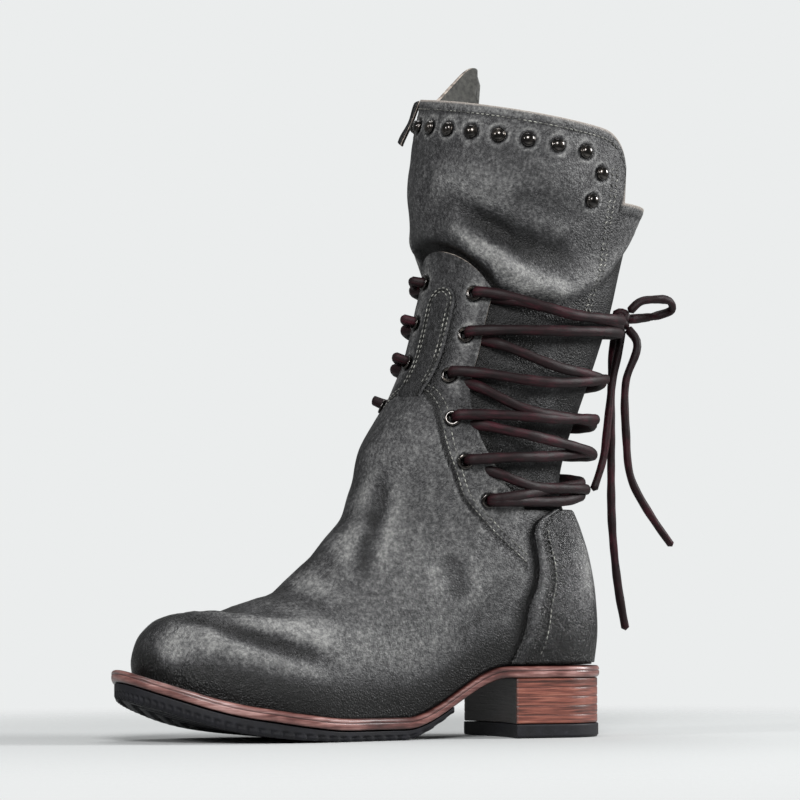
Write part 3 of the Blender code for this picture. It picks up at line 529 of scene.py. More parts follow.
def crease(points, line, depth, width):
    """Soft trough with raised sides along a line, fading at its ends; a negative depth is a ridge."""
    gap, along = nearness(points, line)
    fade = ease(along / 0.22) * ease((1.0 - along) / 0.22)
    trough = np.exp(-(gap / width) ** 2) - 0.45 * np.exp(-((gap - 2.0 * width) / width) ** 2)
    return -depth * fade * trough


def unevenness(points, size, seed):
    """Smooth hills of about a size in millimetres, from -1 to 1."""
    shift = Vector((seed, 2.0 * seed, 3.0 * seed))
    return np.array([noise.noise(Vector(p) / size + shift) for p in points])


vamp_knots = ((-114.0, 90.0), (-92.0, 106.0), (-78.0, 120.0), (-66.0, 136.5), (-45.0, 156.0),
              (-23.5, 171.5), (-12.0, 177.0), (0.0, 178.5), (12.0, 177.0), (23.5, 171.5), (45.0, 156.0),
              (66.0, 136.5), (78.0, 120.0), (92.0, 106.0), (114.0, 90.0))
vamp_edge = drawn_line(vamp_knots, 1, 150)
VAMP_END = vamp_knots[-1][0]

# Creases of the vamp and the ankle: route by angle and height, depth and width
upper_creases = (
    (((178.0, 68.5), (170.0, 68.0), (161.5, 67.5), (153.5, 67.0), (146.5, 66.0), (140.0, 64.5),
      (133.0, 63.0), (127.0, 62.0), (121.5, 61.0), (114.0, 59.5), (106.0, 58.0)), 2.2, 4.4),
    (((184.0, 68.5), (192.0, 68.0), (200.0, 67.3), (208.0, 66.3), (218.0, 64.0), (230.0, 61.5),
      (242.0, 59.0)), 1.8, 4.6),
    (((208.0, 71.5), (196.0, 75.0), (180.0, 76.5), (164.0, 75.5), (150.0, 72.0)), 1.1, 5.0),
    (((236.0, 75.0), (214.0, 82.0), (182.0, 86.0), (148.0, 83.0), (126.0, 77.5), (112.0, 73.0)),
     0.8, 5.0),
    (((222.0, 92.0), (200.0, 96.0), (160.0, 95.0), (136.0, 89.0)), 0.5, 5.5),
    (((154.0, 138.0), (151.5, 124.0), (148.0, 110.0), (138.0, 96.0), (128.0, 88.0)), 1.1, 4.5),
    (((206.0, 136.0), (208.0, 122.0), (214.0, 106.0), (222.0, 96.0)), 0.9, 4.5),
    (((214.0, 116.0), (196.0, 112.0), (176.0, 111.0), (158.0, 113.0), (138.0, 110.0)), 0.5, 5.0),
    (((104.0, 98.0), (92.0, 88.0), (84.0, 76.0)), 0.8, 5.0),
    (((258.0, 98.0), (268.0, 88.0), (276.0, 76.0)), 0.8, 5.0),
)

# Outer eyelets from the top down: height, and angle in from the panel's edge
EYELETS = ((229.0, 11.0), (207.5, 10.0), (186.5, 14.0), (164.0, 12.5), (142.0, 15.5), (122.0, 17.0))
INNER_RAISE, RING_MARK = 8.0, 5.3
COUNTER_HEIGHTS = (37.0, 54.0, 72.0, 91.0, 100.0, 107.0, 113.0, 119.0)
COUNTER_HALVES = (58.5, 55.0, 55.5, 60.0, 63.5, 65.0, 61.0, 45.0)

# Millimetres to a degree round the panel and round the counter
PANEL_DEGREE, COUNTER_DEGREE = 0.75, 0.62

# The way in plan that the vamp's outer side faces, and the shift that mirrors it to the inner side
SIDE_WAY, SIDE_SHIFT = (0.454, 0.891), 0.17

# Painted highlights on the toe, and a shallow dent between them that is painted darker as shade: middle and
# radius
TOE_HIGHLIGHTS = (((210.5, 16.5, 46.0), 8.5), ((199.0, 22.0, 53.0), 8.5), ((214.0, -34.0, 44.0), 16.0))
TOE_DENT = ((203.5, 21.0, 48.0), 6.0)


def eyelet_angle(height, inset, side):
    """Angle of an eyelet, on the outer (1) or the inner (-1) edge."""
    return float(180.0 - panel_turn(height) - side * (panel_edge(height) - inset))


outer_holes = [(eyelet_angle(height, inset, 1), height) for height, inset in EYELETS]
inner_holes = [(eyelet_angle(height + INNER_RAISE, inset, -1), height + INNER_RAISE)
               for height, inset in EYELETS]


def spot_mark(points, middle, radius):
    """Soft round mark, 1 at its middle."""
    return np.exp(-(np.linalg.norm(points - np.array(middle), axis=1) / radius) ** 2)


def ring_mark(points, places, radius):
    """Nearness to a ring round each of some places on the boot's face, and to the spots inside."""
    gap = np.full(len(points), 1e6)
    for angle, height in places:
        gap = np.minimum(gap, np.linalg.norm(points - surface(angle, height), axis=1))
    return np.exp(-((gap - radius) / 1.1) ** 2), 1.0 - ease((gap - radius + 1.6) / 1.2)


def upper_finish(angle, height):
    """Relief of the upper's face, and where it is dark (with painted shade), lighter (wear and painted
    highlights) and polished.
    """
    points = surface(angle, height)
    local = 180.0 - panel_turn(height) - angle
    gap, _ = nearness(points, vamp_edge)
    knots = np.asarray(vamp_knots)
    seam_height = np.interp(local, knots[:, 0], knots[:, 1])
    on_vamp = (height < seam_height) & (np.abs(local) < VAMP_END)
    signed = np.where(on_vamp, gap, -gap)
    relief = 0.6 * ease(signed + 0.5) * ease((VAMP_END - np.abs(local)) / 8.0)
    hollow = np.zeros(len(points))
    for line, depth, width in upper_creases:
        hollow = hollow + crease(points, drawn_line(line), depth, width)
    relief = relief + hollow
    relief = relief + 0.25 * unevenness(points, 26.0, 1.0) + 0.14 * unevenness(points, 9.0, 2.0)
    rings, spots = ring_mark(points, outer_holes + inner_holes, RING_MARK)
    dent = spot_mark(points, *TOE_DENT)
    relief = relief - 0.35 * spots - 0.45 * dent

    # Zones from 0 to 1: seams and edges, the foot by the welt, the toe, the panel, and what faces front,
    # which takes painted shade
    seam = np.exp(-((signed + 1.0) / 1.3) ** 2)
    edge = np.where(height > TOP_LINE, (panel_edge(height) - np.abs(local)) * PANEL_DEGREE, 30.0)
    from_back = np.minimum(angle % 360.0, 360.0 - angle % 360.0)
    counter_gap = (from_back - curve_through(COUNTER_HEIGHTS, COUNTER_HALVES, height)) * COUNTER_DEGREE
    # Painted shade on the upper beside the counter's raised edge
    groove = np.exp(-((counter_gap - 0.6) / 1.5) ** 2) * (height < TOP_LINE)
    above_sole = points[:, 2] - sole_top(points[:, 0])
    # Painted highlights: glossy spots on the toe, which also lift the painted darkening there
    toe_highlight = sum(spot_mark(points, *rub) for rub in TOE_HIGHLIGHTS)
    foot = (1.0 - ease((above_sole - 4.0) / 19.0)) * (1.0 - 0.85 * toe_highlight)
    toe = ease((points[:, 0] - 172.0) / 40.0)
    toe_top = toe * ease((above_sole - 26.0) / 10.0)
    strip = np.exp(-((edge - 7.0) / 6.5) ** 2) * ease((height - 160.0) / 20.0)
    panel = ease(-signed / 4.0) * ease((height - 148.0) / 25.0) * (1.0 - strip)
    panel = panel * (0.5 - 0.38 * ease((height - 200.0) / 35.0))
    # Painted shade where the face turns toward the toe, alike on both sides, below the ankle
    face = surface(angle, height, 1.0) - points
    sideways = SIDE_WAY[0] * face[:, 0] + SIDE_WAY[1] * (np.abs(face[:, 1] + SIDE_SHIFT) - SIDE_SHIFT)
    front = (1.0 - ease((sideways - 0.30) / 0.45)) * ease(face[:, 0] / 0.05)
    front = front * (1.0 - ease((height - 140.0) / 40.0)) * (1.0 - 0.8 * toe_highlight)
    # Painted shade in the crease troughs, beside the counter, round the eyelets' bases, in the dent and on
    # what faces the toe; the seams, the foot by the welt, the toe's top and the panel are darker too
    dark = np.maximum.reduce([0.9 * seam, 1.15 * foot, np.clip(-hollow * 0.5, 0.0, 0.85), 0.6 * toe_top,
                              0.95 * groove, panel, 0.8 * spots, 0.5 * front, 0.3 * dent])
    # Painted highlight: a lighter band along the quarters and vamp, about 36 mm above the sole
    glow = np.exp(-((above_sole - 36.0) / 14.0) ** 2) * ease((points[:, 0] - 40.0) / 40.0) * (1.0 - toe)
    # Lighter where rubbed: crease ridges, the vamp's and the panel's edges, the eyelets' rings; with the
    # painted highlights on the toe and along the quarters
    wear_and_sheen = np.clip(hollow * 0.9, 0.0, 0.5) + 0.45 * np.exp(-((signed - 1.0) / 0.8) ** 2)
    wear_and_sheen = wear_and_sheen + 0.5 * np.exp(-(edge / 1.6) ** 2) + 0.5 * rings + 0.6 * glow + 1.2 * toe_highlight
    wear_and_sheen = wear_and_sheen + 0.36 * ease((height - 62.0) / 30.0) * (1.0 - ease((height - 140.0) / 45.0)) + 0.45 * strip
    return relief, {"dark": dark, "wear_and_sheen": wear_and_sheen, "polish": np.maximum(toe, 0.3 * foot)}


def upper_place(u, v):
    """Foot shell up to the top line, then the panel; points beside the panel are marked to be cut."""
    angle = 360.0 * (1.0 - u)
    share = (angle - 180.0) / PANEL_SPAN
    within = np.clip(share, -1.0, 1.0)
    top = PANEL_TOP + PANEL_TILT * within - PANEL_CORNER * np.abs(within) ** 2.1
    low = 0.36
    height = np.where(v < low, FEATHER_EDGE + v / low * (TOP_LINE - FEATHER_EDGE),
                      TOP_LINE + (v - low) / (1.0 - low) * (top - TOP_LINE))
    spread = 180.0 - panel_turn(height) + share * panel_edge(np.maximum(height, TOP_LINE))
    angle = np.where(v <= low + 1e-6, angle, spread)
    relief, painted = upper_finish(angle, height)
    outside = (v > low + 1e-6) & (np.abs(share) > 1.0001)
    painted["cut"] = outside.astype(float)
    return surface(angle, height, relief), painted


upper = shaped_grid("upper_shell", 360, 144, upper_place, False)
marked = np.empty(len(upper.data.vertices))
upper.data.attributes["cut"].data.foreach_get("value", marked)
upper.data.vertices.foreach_set("select", marked > 0.5)
upper.data.edges.foreach_set("select", np.zeros(len(upper.data.edges), bool))
upper.data.polygons.foreach_set("select", np.zeros(len(upper.data.polygons), bool))
bpy.ops.object.mode_set(mode="EDIT")
bpy.ops.mesh.select_mode(type="VERT")
bpy.ops.mesh.delete(type="VERT")
bpy.ops.object.mode_set(mode="OBJECT")


def pick(*pieces):
    """Select some pieces and nothing else, with the first one active."""
    bpy.ops.object.select_all(action="DESELECT")
    for piece in pieces:
        piece.select_set(True)
    bpy.context.view_layer.objects.active = pieces[0]


def add_wall(made, thickness, finishes):
    """Give a sheet its thickness inward, with finishes for its face, its lining and its cut edge."""
    for finish in finishes:
        made.data.materials.append(finish)
    pick(made)
    wall = made.modifiers.new("wall", "SOLIDIFY")
    wall.thickness = thickness * MM
    wall.offset = -1.0
    wall.use_even_offset = False
    wall.material_offset = 1
    wall.material_offset_rim = 2
    bpy.ops.object.modifier_apply(modifier="wall")


# Waxed pull-up leather, sanded grey: clouds of 40 mm, mottling of 5 mm and flecks of 2 mm, pale where
# it is rubbed and under painted highlights, dark in seams and with painted shade in folds, satin gloss that
# rises on the toe and heel.
# Its pebble grain is finer in life and is drawn at 1.4 mm so that it shows.
grey_leather, tree, shader = new_finish("worn_waxed_grey_leather")
spot = node(tree, "ShaderNodeTexCoord")
cloud = node(tree, "ShaderNodeTexNoise", {"Vector": spot.outputs["Object"], "Scale": 24.0, "Detail": 4.0,
                                          "Roughness": 0.55})
mottle = node(tree, "ShaderNodeTexNoise", {"Vector": spot.outputs["Object"], "Scale": 190.0, "Detail": 6.0,
                                           "Roughness": 0.72})
fleck = node(tree, "ShaderNodeTexNoise", {"Vector": spot.outputs["Object"], "Scale": 560.0, "Detail": 4.0,
                                          "Roughness": 0.7})
grain = node(tree, "ShaderNodeTexVoronoi", {"Vector": spot.outputs["Object"], "Scale": 700.0},
             feature="DISTANCE_TO_EDGE")
tilted = node(tree, "ShaderNodeMapping", {"Vector": spot.outputs["Object"], "Rotation": (0.5, 0.3, 0.7),
                                          "Scale": (1.0, 5.0, 1.0)})
scratch = node(tree, "ShaderNodeTexNoise", {"Vector": tilted.outputs[0], "Scale": 110.0, "Detail": 8.0,
                                            "Roughness": 0.75})
# Lighter where rubbed, and where highlights are painted
wear_and_sheen = node(tree, "ShaderNodeAttribute", attribute_name="wear_and_sheen")
dark = node(tree, "ShaderNodeAttribute", attribute_name="dark")
polish = node(tree, "ShaderNodeAttribute", attribute_name="polish")
level = node(tree, "ShaderNodeMath", {0: cloud.outputs["Fac"], 1: 0.30, 2: -0.455},
             operation="MULTIPLY_ADD")
for source, weight in ((mottle, 0.42), (fleck, 0.92), (scratch, 0.25), (wear_and_sheen, 0.30), (dark, -0.49)):
    level = node(tree, "ShaderNodeMath", {0: source.outputs["Fac"], 1: weight, 2: level.outputs[0]},
                 operation="MULTIPLY_ADD")
tone = node(tree, "ShaderNodeValToRGB", {"Fac": level.outputs[0]},
            ((0.16, "#080808"), (0.36, "#1d1d1e"), (0.52, "#363637"), (0.70, "#5b5b5b"), (0.95, "#8c8c8a")))
raw = node(tree, "ShaderNodeAttribute", attribute_name="raw")
cut = node(tree, "ShaderNodeMix", {"Factor": raw.outputs["Fac"], 6: tone.outputs["Color"],
                                   7: linear("#a99f96")}, data_type="RGBA")
tree.links.new(cut.outputs[2], shader.inputs["Base Color"])
gloss = node(tree, "ShaderNodeMapRange", {"Value": scratch.outputs["Fac"], "From Min": 0.3, "From Max": 0.7,
                                          "To Min": 0.36, "To Max": 0.60})
shone = node(tree, "ShaderNodeMath", {0: polish.outputs["Fac"], 1: -0.22, 2: gloss.outputs["Result"]},
             operation="MULTIPLY_ADD")
tree.links.new(shone.outputs[0], shader.inputs["Roughness"])
shader.inputs["Specular IOR Level"].default_value = 0.32
pebble = node(tree, "ShaderNodeMath", {0: grain.outputs["Distance"], 1: 0.9, 2: fleck.outputs["Fac"]},
              operation="MULTIPLY_ADD")
relief = node(tree, "ShaderNodeBump", {"Height": pebble.outputs[0], "Strength": 0.6, "Distance": 0.0012})
tree.links.new(relief.outputs["Normal"], shader.inputs["Normal"])

# Pigskin lining, unfinished: warm grey, matt, with a short nap drawn at 2.4 mm so that it shows
lining, tree, shader = new_finish("matt_grey_lining")
spot = node(tree, "ShaderNodeTexCoord")
nap = node(tree, "ShaderNodeTexNoise", {"Vector": spot.outputs["Object"], "Scale": 420.0, "Detail": 6.0})
tone = node(tree, "ShaderNodeValToRGB", {"Fac": nap.outputs["Fac"]}, ((0.35, "#272725"), (0.65, "#41413d")))
tree.links.new(tone.outputs["Color"], shader.inputs["Base Color"])
shader.inputs["Roughness"].default_value = 0.9
shader.inputs["Sheen Weight"].default_value = 0.15
relief = node(tree, "ShaderNodeBump", {"Height": nap.outputs["Fac"], "Strength": 0.3, "Distance": 0.0005})
tree.links.new(relief.outputs["Normal"], shader.inputs["Normal"])

# Cut leather edge, left raw: undyed fibre, pale and fuzzy, dirty in patches of 3 mm
raw_edge, tree, shader = new_finish("raw_cut_edge")
spot = node(tree, "ShaderNodeTexCoord")
fibre = node(tree, "ShaderNodeTexNoise", {"Vector": spot.outputs["Object"], "Scale": 300.0, "Detail": 5.0})
tone = node(tree, "ShaderNodeValToRGB", {"Fac": fibre.outputs["Fac"]},
            ((0.32, "#5b534d"), (0.55, "#9a8f86"), (0.7, "#c4b9ae")))
tree.links.new(tone.outputs["Color"], shader.inputs["Base Color"])
shader.inputs["Roughness"].default_value = 0.85

add_wall(upper, WALL, (grey_leather, lining, raw_edge))

# Eyelet holes, punched through both edges of the panel
EYELET_RADIUS, EYELET_WIRE, PUNCH_RADIUS, PUNCH_LONG = 3.2, 0.9, 2.6, 7.0


def seat(angle, height, offset):
    """Placement on the boot's face in metres, with local Z pointing outward."""
    low, high = surface(angle, height), surface(angle, height, 1.0)
    place = Vector(low + offset * (high - low)) * MM
    return Matrix.Translation(place) @ Vector(high - low).to_track_quat("Z", "Y").to_matrix().to_4x4()


def joined(pieces):
    """Make one piece of several."""
    pick(*pieces)
    bpy.ops.object.join()
    return bpy.context.object


punches = []
for angle, height in outer_holes + inner_holes:
    bpy.ops.object.select_all(action="DESELECT")
    bpy.ops.mesh.primitive_cylinder_add(vertices=20, radius=PUNCH_RADIUS * MM, depth=PUNCH_LONG * MM)
    bpy.context.object.data.transform(seat(angle, height, -1.0))
    punches.append(bpy.context.object)
punch = joined(punches)
pick(upper)
holes = upper.modifiers.new("eyelet_holes", "BOOLEAN")
holes.object = punch
holes.operation = "DIFFERENCE"
bpy.ops.object.modifier_apply(modifier="eyelet_holes")
bpy.data.objects.remove(punch)
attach(upper, "root")
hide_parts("upper")


# Insole. A sock of tan leather on the insole board, 2.5 mm together,
# glued inside the shell on the midsole and dished a little by the foot.

INSOLE, INSOLE_GAP, INSOLE_INSET, INSOLE_DISH = 2.5, 0.72, 2.9, 0.5


def insole_place(u, v):
    """Underside, rounded edge and dished top of the insole, inside the feather edge."""
    feather = {name: LAST[name][0] for name in LAST_COLUMNS}
    rim = np.clip((v - 0.3) / 0.2, 0.0, 1.0)
    x, y, middle = plan_edge(feather, 360.0 * u, -INSOLE_INSET - 0.5 * np.abs(2.0 * rim - 1.0) ** 3)
    cover = np.where(v < 0.3, v / 0.3, np.where(v > 0.5, (1.0 - v) / 0.5, 1.0))
    y = middle + cover * (y - middle)
    dish = INSOLE_DISH * (1.0 - cover ** 2) * (v > 0.5)
    return np.stack([x, y, sole_top(x) + INSOLE_GAP + INSOLE * rim - dish], axis=-1), {}


insole = shaped_grid("insole_sock", 180, 40, insole_place)

# Aniline sock leather, lightly finished: tan, rubbed darker in patches of 30 mm, grain of 1.1 mm
sock, tree, shader = new_finish("tan_sock_leather")
spot = node(tree, "ShaderNodeTexCoord")
rub = node(tree, "ShaderNodeTexNoise", {"Vector": spot.outputs["Object"], "Scale": 30.0, "Detail": 6.0})
grain = node(tree, "ShaderNodeTexVoronoi", {"Vector": spot.outputs["Object"], "Scale": 900.0})
tone = node(tree, "ShaderNodeValToRGB", {"Fac": rub.outputs["Fac"]},
            ((0.3, "#5a4632"), (0.55, "#8a6d50"), (0.75, "#a5886a")))
tree.links.new(tone.outputs["Color"], shader.inputs["Base Color"])
shader.inputs["Roughness"].default_value = 0.65
relief = node(tree, "ShaderNodeBump", {"Height": grain.outputs["Distance"], "Strength": 0.25,
                                       "Distance": 0.0004})
tree.links.new(relief.outputs["Normal"], shader.inputs["Normal"])
insole.data.materials.append(sock)
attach(insole, "root")
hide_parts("insole")


# Counter. A stiffened overlay round the heel in the same leather, polished, with a thick rolled
# front edge that is sewn down on the quarters.

OVERLAY, OVERLAY_GAP = 1.2, 0.75
COUNTER_FOOT, COUNTER_TOP = 38.9, 118.1


def counter_place(u, v):
    """Face of the counter: rolled front edges, dents, dark by the sole, painted shade beside the roll and a
    painted highlight at the heel's sides.
    """
    height = COUNTER_FOOT + v * (COUNTER_TOP - COUNTER_FOOT)
    half = curve_through(COUNTER_HEIGHTS, COUNTER_HALVES, height)
    angle = (1.0 - 2.0 * u) * half
    points = surface(angle, height)
    edge = (half - np.abs(angle)) * COUNTER_DEGREE
    top = COUNTER_TOP - height
    rim = np.minimum(edge, top)
    roll = 0.9 * np.exp(-((edge - 1.6) / 1.2) ** 2) - 0.5 * np.exp(-(rim / 0.5) ** 2)
    dents = 0.22 * unevenness(points, 22.0, 4.0)
    relief = OVERLAY_GAP + OVERLAY + roll + dents - 0.6 * (1.0 - ease((height - 42.0) / 16.0))
    above_sole = points[:, 2] - sole_top(points[:, 0])
    low = 0.2 + 0.55 * (1.0 - ease((above_sole - 4.0) / 34.0))
    # Painted shade in the hollow beside the rolled edge
    dark = np.maximum(low, 0.9 * np.exp(-((edge - 3.9) / 0.9) ** 2))
    wear_and_sheen = 0.7 * np.exp(-((edge - 1.5) / 1.0) ** 2) + 0.5 * np.exp(-(top / 1.5) ** 2)
    # Painted highlight down each side of the heel
    sheen_highlight = np.exp(-((np.abs(angle) - 27.0) / 13.0) ** 2) * np.exp(-((height - 90.0) / 24.0) ** 2)
    wear_and_sheen = wear_and_sheen + sheen_highlight
    dark = dark * (1.0 - 0.8 * sheen_highlight)
    return surface(angle, height, relief), {"dark": dark, "wear_and_sheen": wear_and_sheen, "polish": np.ones(len(points))}


counter = shaped_grid("heel_counter", 150, 64, counter_place, False)
add_wall(counter, OVERLAY, (grey_leather, lining, grey_leather))
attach(counter, "root")
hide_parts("counter")


# Front stay. A tongue-shaped strip of the same leather on the middle of the panel, its foot tucked
# under the vamp's edge, sewn all round by two rows of stitches.

STAY_HALF, STAY_FOOT, STAY_TOP, STAY_ARCH, STAY_TUCK = 11.5, 182.0, 234.0, 12.0, 10.0


def stay_place(u, v):
    """Face of the stay, pressed in along its stitches and sunk at its foot."""
    share = 1.0 - 2.0 * u
    top = STAY_TOP - STAY_ARCH * (1.0 - np.sqrt(1.0 - 0.97 * share ** 2))
    height = STAY_FOOT - STAY_TUCK + v * (top - STAY_FOOT + STAY_TUCK)
    angle = 180.0 - panel_turn(height) + share * STAY_HALF
    points = surface(angle, height)
    edge = np.minimum((1.0 - np.abs(share)) * STAY_HALF * PANEL_DEGREE, top - height)
    sewn = np.exp(-((edge - 2.6) / 0.8) ** 2)
    relief = OVERLAY_GAP + OVERLAY - 0.5 * np.exp(-(edge / 0.6) ** 2) - 0.25 * sewn
    relief = relief + 0.25 * unevenness(points, 14.0, 5.0)
    relief = relief - 2.2 * (1.0 - ease((height - STAY_FOOT + 9.0) / 6.0))
    wear_and_sheen = 0.5 * np.exp(-((edge - 0.8) / 0.9) ** 2)
    return surface(angle, height, relief), {"dark": 0.26 + 0.5 * sewn, "wear_and_sheen": wear_and_sheen}


stay = shaped_grid("panel_stay", 44, 64, stay_place, False)
add_wall(stay, OVERLAY, (grey_leather, lining, grey_leather))
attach(stay, "root")
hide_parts("front_stay")


# Shaft. A softer sleeve of the same leather sewn inside the upper. It slouches over the panel's top
# in a deep fold, and ends in two flaps with round rear corners and a lower back strap.

SHAFT_WALL, SHAFT_FOOT, NOTCH_RIM = 1.8, 105.0, 279.0
FLAP_ANGLE, FLAP_RIM, FLAP_SLOPE, FLAP_CORNER = 103.0, 330.2, 17.0, 18.0
INNER_CORNER, INNER_CORNER_RAISE, INNER_CORNER_START = 14.0, 34.0, 66.0


def collar_rim(angle):
    """Height of the collar: a sloping flap with a round rear corner on the outer side, a level one with
    a raised corner on the inner side, and a low back."""
    local = 180.0 - TURN - angle
    flap = FLAP_RIM - FLAP_SLOPE * np.clip(local, -40.0, FLAP_ANGLE) / FLAP_ANGLE
    climb = np.clip((-local - INNER_CORNER_START) / (FLAP_ANGLE - INNER_CORNER_START), 0.0, 1.0)
    flap = flap + INNER_CORNER_RAISE * climb ** 1.25
    round_off = np.where(local > 0.0, FLAP_CORNER, INNER_CORNER)
    near = np.clip(np.abs(local) - FLAP_ANGLE + round_off, 0.0, round_off)
    corner = round_off - np.sqrt(round_off ** 2 - near ** 2)
    return np.where(np.abs(local) <= FLAP_ANGLE + 0.01, flap - corner, NOTCH_RIM)


# Studs: twelve in a row below the rim, then two by height and angle at each flap's rear corner
STUD_PITCH, STUD_SHIFT, STUD_BELOW, STUD_MARK = 15.0, 6.5, 14.5, 5.6
CORNER_STUDS = ((292.5, 86.0), (278.0, 82.0))
stud_places = []
for local in (np.arange(12) - 5.5) * STUD_PITCH - STUD_SHIFT:
    stud_places.append((180.0 - TURN - local, float(collar_rim(180.0 - TURN - local)) - STUD_BELOW))
for side in (1, -1):
    stud_places += [(180.0 - TURN - side * local, height) for height, local in CORNER_STUDS]

# Where the sleeve comes out of the laced part: angle from the panel's middle, height and width
swell_knots = np.array((
    (-180.0, 256.0, 12.0), (-130.0, 254.0, 12.0), (-100.0, 234.0, 11.0), (-75.0, 227.0, 10.0),
    (-50.0, 233.0, 8.0), (-40.0, 247.0, 5.0), (-33.0, 253.5, 4.5), (-20.0, 255.5, 4.0), (-8.0, 255.0, 4.0),
    (0.0, 253.5, 4.0), (10.0, 249.5, 4.0), (20.0, 243.5, 4.0), (28.0, 237.0, 4.5), (34.0, 231.0, 5.0),
    (40.0, 226.0, 6.0), (50.0, 223.0, 8.0), (75.0, 221.0, 10.0), (100.0, 231.0, 11.0), (130.0, 254.0, 12.0),
    (180.0, 256.0, 12.0)))

# Folds of the sleeve: route by angle and height, depth (less than zero for a ridge) and width
shaft_creases = (
    (((162.0, 268.0), (152.0, 265.0), (140.0, 257.5), (127.0, 247.0), (116.0, 238.5), (104.0, 233.5),
      (90.0, 231.0), (74.0, 232.0)), -3.0, 5.2),
    (((154.0, 267.5), (144.0, 265.0), (128.0, 260.5), (111.0, 255.0), (96.0, 250.5), (80.0, 248.0)),
     2.2, 6.6),
    (((172.0, 290.0), (152.0, 289.0), (130.0, 286.0), (110.0, 284.0)), -0.9, 9.0),
    (((165.0, 297.0), (170.0, 286.0), (177.0, 274.0)), 0.6, 3.5),
    (((122.0, 280.0), (104.0, 274.0), (86.0, 270.0)), 0.7, 8.0),
    (((196.0, 266.0), (206.0, 259.0), (222.0, 246.0), (240.0, 240.0)), -2.0, 6.0),
    (((200.0, 277.0), (212.0, 270.0), (230.0, 258.0), (246.0, 253.0)), 2.0, 7.0),
    (((30.0, 264.0), (0.0, 260.0), (-30.0, 263.0)), 1.4, 6.0),
    (((46.0, 242.0), (10.0, 238.0), (-24.0, 241.0)), 1.2, 6.0),
    (((250.0, 290.0), (236.0, 296.0), (214.0, 294.0)), 1.0, 7.0),
)


def shaft_finish(angle, height, hem):
    """Relief of the shaft's face, and where it is dark (with painted shade), lighter (wear and painted
    highlights) and raw; hem is the way down from the rim.
    """
    points = surface(angle, height)
    local = (180.0 - panel_turn(height) - angle + 180.0) % 360.0 - 180.0
    swell, width = [np.interp(local, swell_knots[:, 0], swell_knots[:, k]) for k in (1, 2)]
    over = height - swell
    out = ease(over / width)
    at_panel = ease((44.0 - np.abs(local)) / 8.0)
    lap = (0.6 + 3.2 * at_panel) * out * np.exp(-(np.clip(over - width, 0.0, None) / 19.0) ** 2)
    hollow = np.zeros(len(points))
    for line, depth, wide in shaft_creases:
        hollow = hollow + crease(points, drawn_line(line), depth, wide)
    hollow = hollow * out
    flare = 1.6 * np.exp(-np.abs(height - NOTCH_RIM) / 9.0) * (height + hem < NOTCH_RIM + 0.5)
    rings, spots = ring_mark(points, stud_places, STUD_MARK)
    relief = -(WALL + 0.9) * (1.0 - out) + lap + hollow + flare - 0.4 * spots + 0.25 * rings
    relief = relief + 0.45 * np.exp(-((hem - 2.2) / 2.0) ** 4)
    uneven = 0.4 * unevenness(points, 24.0, 7.0) + 0.18 * unevenness(points, 9.0, 8.0)
    relief = relief + (0.2 + 0.8 * out) * uneven
    beyond = np.abs(local) - panel_edge(np.clip(height, TOP_LINE, 255.0))
    bared = ease((beyond + 4.0) / 3.0)
    # Painted shade on the sleeve bared between the lacing, in patches and darkest by the panel's open edge
    laced = bared * (1.0 - ease((over + 2.0) / 8.0))
    shadow = 1.0 - ease((beyond - 3.0) / 14.0)
    patches = 0.5 + 0.5 * unevenness(points, 17.0, 11.0)
    # Painted shadow under the sleeve's lap along the panel's top
    fold_shadow = at_panel * np.exp(-((over - 0.3) / 3.4) ** 2)
    # Painted shade in the folds' troughs and round the studs' bases
    dark = np.maximum.reduce([np.clip(-hollow * 0.20, 0.0, 0.6), fold_shadow, patches * laced, laced * shadow,
                              0.45 * np.exp(-((hem - 5.2) / 0.8) ** 2), 0.7 * spots])
    low_bulge = np.exp(-((over - 12.0) / 9.0) ** 2) * bared
    # Lighter on the folds' ridges as a painted highlight, on the low bulge above the lacing, and where
    # rubbed at the rim and on the studs' rings
    wear_and_sheen = np.clip(hollow * 0.42, 0.0, 0.95) + 0.35 * np.exp(-(hem / 3.0) ** 2) + 0.7 * rings
    wear_and_sheen = wear_and_sheen + 0.12 * ease((height - 262.0) / 20.0) + 0.5 * low_bulge + 0.22 * np.exp(-(hem / 14.0) ** 2)
    raw = 0.8 * (1.0 - ease((hem - 0.5) / 0.8))
    return relief, {"dark": dark, "wear_and_sheen": wear_and_sheen, "raw": raw}


def shaft_place(u, v):
    """Sleeve up to the notch, then the flaps; the share of the grid past the flaps is the back strap."""
    flap = 0.62
    notch = np.clip((u - flap - 0.004) / (1.0 - flap - 0.008), 0.0, 1.0)
    turn = np.where(u < flap + 1e-6, FLAP_ANGLE * (2.0 * u / flap - 1.0),
                    FLAP_ANGLE + 0.5 + notch * (359.0 - 2.0 * FLAP_ANGLE))
    turn = np.where(u > 1.0 - 1e-6, -FLAP_ANGLE, turn)
    angle = 180.0 - TURN - turn
    rim = np.where(turn > FLAP_ANGLE + 0.01, NOTCH_RIM, collar_rim(angle))
    tube = 0.72
    height = np.where(v < tube, SHAFT_FOOT + v / tube * (NOTCH_RIM - SHAFT_FOOT),
                      NOTCH_RIM + (v - tube) / (1.0 - tube) * (rim - NOTCH_RIM))
    relief, painted = shaft_finish(angle, height, rim - height)
    return surface(angle, height, relief), painted


shaft = shaped_grid("shaft_sleeve", 260, 132, shaft_place, False)
add_wall(shaft, SHAFT_WALL, (grey_leather, lining, raw_edge))
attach(shaft, "root")
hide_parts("shaft")


# Collar tab. A short strip of thin leather, folded over and caught in the collar's inner front,
# with its lower end standing away from the shaft.

